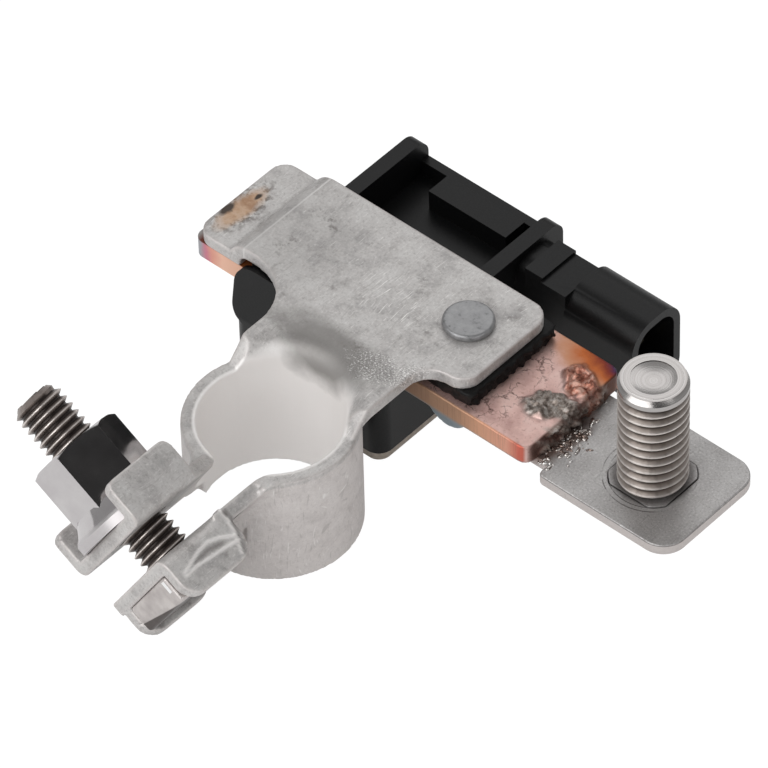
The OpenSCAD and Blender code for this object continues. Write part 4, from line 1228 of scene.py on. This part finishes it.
cap = copy_of("ground_stud", "stud_cap")
keep_side(cap, stud_top - END_H + 0.02, -1)
take(cap)
bpy.ops.object.mode_set(mode="EDIT")
bpy.ops.mesh.select_all(action="DESELECT")
bpy.ops.object.mode_set(mode="OBJECT")
for face in cap.data.polygons:
    face.select = face.normal.z > 0.99 and face.center.z > (stud_top - 0.1) * MM
bpy.ops.object.mode_set(mode="EDIT")
for width in DISH_STEPS:
    bpy.ops.mesh.inset(thickness=width * MM, depth=DISH_DEPTH * MM)
bpy.ops.object.mode_set(mode="OBJECT")
round_edges(cap, 0.25, angle=25, segments=3)
set_crest(cap, 0.8)
print("stud from Z", round(stud_low.z / MM, 2), "to", round(stud_top, 2), "mm")

# %% [markdown]
# ## Thread of the stud
# The M8 thread climbs 1.25 mm a turn between the foot and the end. Each of the three pieces has
# its own metal, and joined they stand in for the stud.

# %% Stud: thread
thread = threaded_rod("stud_thread", 4.0, 1.25, PLATE_TOP + 0.1, stud_top - END_H + 0.25, 0.3)
take(thread)
thread.location = ((stud_low.x + stud_high.x) / 2, (stud_low.y + stud_high.y) / 2, 0)
bpy.ops.object.transform_apply(location=True)
for piece, material in ((foot, ground_zinc), (cap, turned_steel), (thread, stud_steel)):
    give_materials(piece, material)
stand_in(join([foot, cap, thread], "threaded_stud"), "ground_stud")

# %% [markdown]
# ## Clamp bolt
# The bolt is an M6 with a square head. Both are made upright, where sizes are easy to read, and
# then turned together into the bolt's own directions. The head is a bevelled block that its ear
# holds from turning.

# %% Bolt
HEAD_SEAT = -3.6
BOLT_END = 20.9
HEAD_SIZE = Vector((10.4, 10.4, 3.4)) * MM
shank = threaded_rod("bolt_thread", 3.0, 1.0, HEAD_SEAT - 0.5, BOLT_END, 0.9)
give_materials(shank, bolt_steel)
deselect()
bpy.ops.mesh.primitive_cube_add(size=1, location=(0, 0, (HEAD_SEAT - 0.1) * MM - HEAD_SIZE.z / 2))
head = bpy.context.object
head.scale = HEAD_SIZE
bpy.ops.object.transform_apply(location=True, scale=True)
round_edges(head, 0.45, segments=3)
give_materials(head, bolt_steel, head_steel)
for face in head.data.polygons:
    face.material_index = 1
set_crest(head, 0.8)
bolt = join([shank, head], "threaded_square_bolt")
bolt.matrix_world = Matrix.Translation(BOLT_POINT * MM) @ BOLT_AXES.to_4x4()
take(bolt)
bpy.ops.object.transform_apply(location=True, rotation=True, scale=True)
stand_in(bolt, "clamp_bolt")
print("bolt materials:", [m.name for m in bolt.data.materials])

# %% [markdown]
# ## Weld lumps on the copper
# The copper was welded to the ground plate from above. Two rough lumps of weld metal stand on
# its end, and the end face has melted over the plate. A closed copy is remeshed finely enough to
# carry them, and its points are pushed out by bumps of noise round the weld's two centres.
# The vector noise starts from the clock unless it has a seed, so it gets one, and every run
# gives the same lumps.

# %% Copper with its welds
BAR_TOP = 15.0
SLAG_LUMP = ((21.9, 21.6), (3.4, 2.3), 30)
MELT_LUMP = ((22.3, 26.5), (3.1, 2.1), -42)
END_LUMP = ((BAR_END, 22.4), (1.5, 6.3), 0)
LUMP_SEED = 1795780917
noise.seed_set(LUMP_SEED)


def remeshed_copy(node, name, voxel_mm):
    piece = copy_of(node, name, dissolve=False)
    take(piece)
    piece.data.remesh_voxel_size = voxel_mm * MM
    bpy.ops.object.voxel_remesh()
    return piece


def lump(point, centre, radii, turn):
    """Returns 1 on a flat-topped oval and 0 outside it, for a point in millimetres."""
    offset = Vector((point.x - centre[0], point.y - centre[1]))
    offset.rotate(Matrix.Rotation(-math.radians(turn), 2))
    reach = math.hypot(offset.x / radii[0], offset.y / radii[1])
    share = min(1, max(0, (1.05 - reach) / 0.4))
    return share * share * (3 - 2 * share)


welded = remeshed_copy("shunt_copper_right", "welded_copper", 0.22)
apply_modifier(welded, "SMOOTH", factor=0.5, iterations=3)
slag_layer = welded.data.attributes.new("slag", "FLOAT", "POINT")
melt_layer = welded.data.attributes.new("melt", "FLOAT", "POINT")
for vertex in welded.data.vertices:
    point = vertex.co / MM
    ragged = point + noise.noise_vector(point * 0.8) * 0.7
    slag_bell = lump(ragged, *SLAG_LUMP)
    melt_bell = lump(ragged, *MELT_LUMP)
    crumple = noise.fractal(point * 1.1, 0.7, 2.1, 6)
    slanted = Vector((point.x * 0.5 + point.y * 0.5, point.y - point.x, point.z))
    fold = 1 - abs(noise.noise(slanted * 0.75)) * 3
    if point.z > BAR_TOP - 0.4:
        vertex.co.z += MM * (slag_bell * (0.55 + 0.75 * crumple) + melt_bell * (0.3 + 0.65 * max(-0.6, fold)))
    end_bell = lump(ragged, *END_LUMP)
    if point.x > BAR_END - 1.0:
        vertex.co.x += MM * end_bell * max(0, 0.25 + 0.7 * crumple)
    slag_layer.data[vertex.index].value = max(slag_bell, end_bell * min(1, max(0, 0.2 + 1.2 * crumple)))
    melt_layer.data[vertex.index].value = melt_bell * (1 - slag_bell)
take(welded)
bpy.ops.object.shade_smooth()
finish(welded, "shunt_copper_right", copper_right)

# %% [markdown]
# ## Ragged pad
# The insulating film was torn off a sheet and pressed in place, so its right and front edges are
# ragged. A remeshed copy has points enough along these edges, and noise pushes them to and fro.

# %% Pad
EDGE_BAND = 0.6
END_TEAR, FRONT_TEAR = 0.45, 0.2
pad = remeshed_copy("insulator_pad", "ragged_pad", 0.28)
low, high = [Vector(corner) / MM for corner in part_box("insulator_pad")]
for vertex in pad.data.vertices:
    point = vertex.co / MM
    tear = noise.fractal(point * 1.3, 0.9, 2.0, 4)
    if point.x > high.x - EDGE_BAND:
        vertex.co.x += END_TEAR * tear * MM
    if point.y < low.y + EDGE_BAND:
        vertex.co.y += FRONT_TEAR * tear * MM
take(pad)
bpy.ops.object.shade_smooth()
finish(pad, "insulator_pad", pad_black)

# %% [markdown]
# ## Ground plate
# The plate's left shoulders stand further right than in the CAD, so a copy of the plate has
# those points moved before its edges are rounded.

# %% Plate
SHOULDER_SHIFT = 3.0
SHOULDER_X = (22, 25.5)
SHOULDER_HALF = 6.2
plate = copy_of("ground_plate", "ground_plate_with_spatter")
for vertex in plate.data.vertices:
    x, y = vertex.co.xy / MM
    if SHOULDER_X[0] < x < SHOULDER_X[1] and abs(y - STUD_MIDDLE.y) > SHOULDER_HALF:
        vertex.co.x += SHOULDER_SHIFT * MM
round_edges(plate, 0.2)
give_materials(plate, ground_zinc, spatter_metal)
print("shoulders moved by", SHOULDER_SHIFT, "mm")

# %% [markdown]
# ## Weld spatter
# Drops of molten metal flew off the weld and froze on the plate beside it. One small ball is
# modelled and copied, and each copy is flattened, stretched and turned at random. The drops
# crowd towards the weld, and they belong to the plate.

# %% Spatter
DROPS = 90
DROP_SEED = 4
WELD_X, WELD_Y = 24.7, 20.3
SPREAD_X, SPREAD_Y = 1.6, 2.2
FRONT_Y, BACK_Y = 16.2, 30
deselect()
bpy.ops.mesh.primitive_ico_sphere_add(subdivisions=2, radius=1)
first_drop = bpy.context.object
bpy.ops.object.shade_smooth()
give_materials(first_drop, ground_zinc, spatter_metal)
for face in first_drop.data.polygons:
    face.material_index = 1
random.seed(DROP_SEED)
drops = []
for i in range(DROPS):
    x = WELD_X + abs(random.gauss(0, SPREAD_X))
    y = min(BACK_Y, max(FRONT_Y, random.gauss(WELD_Y, SPREAD_Y)))
    size = random.uniform(0.10, 0.30) * (1.3 if i % 9 == 0 else 1)
    radii = Vector((random.uniform(0.5, 2.6), random.uniform(0.5, 1.2), random.uniform(0.5, 1.0))) * size * MM
    turn = Euler((0, random.uniform(-0.3, 0.3), random.uniform(0, math.pi))).to_matrix().to_4x4()
    middle = Matrix.Translation(Vector((x, y, PLATE_TOP)) * MM)
    drop = bpy.data.objects.new("drop", first_drop.data.copy())
    drop.data.transform(middle @ turn @ Matrix.Diagonal((*radii, 1)))
    scene.collection.objects.link(drop)
    drops.append(drop)
bpy.data.objects.remove(first_drop)
stand_in(join([plate] + drops, "ground_plate_with_spatter"), "ground_plate")
print("spatter drops:", len(drops))
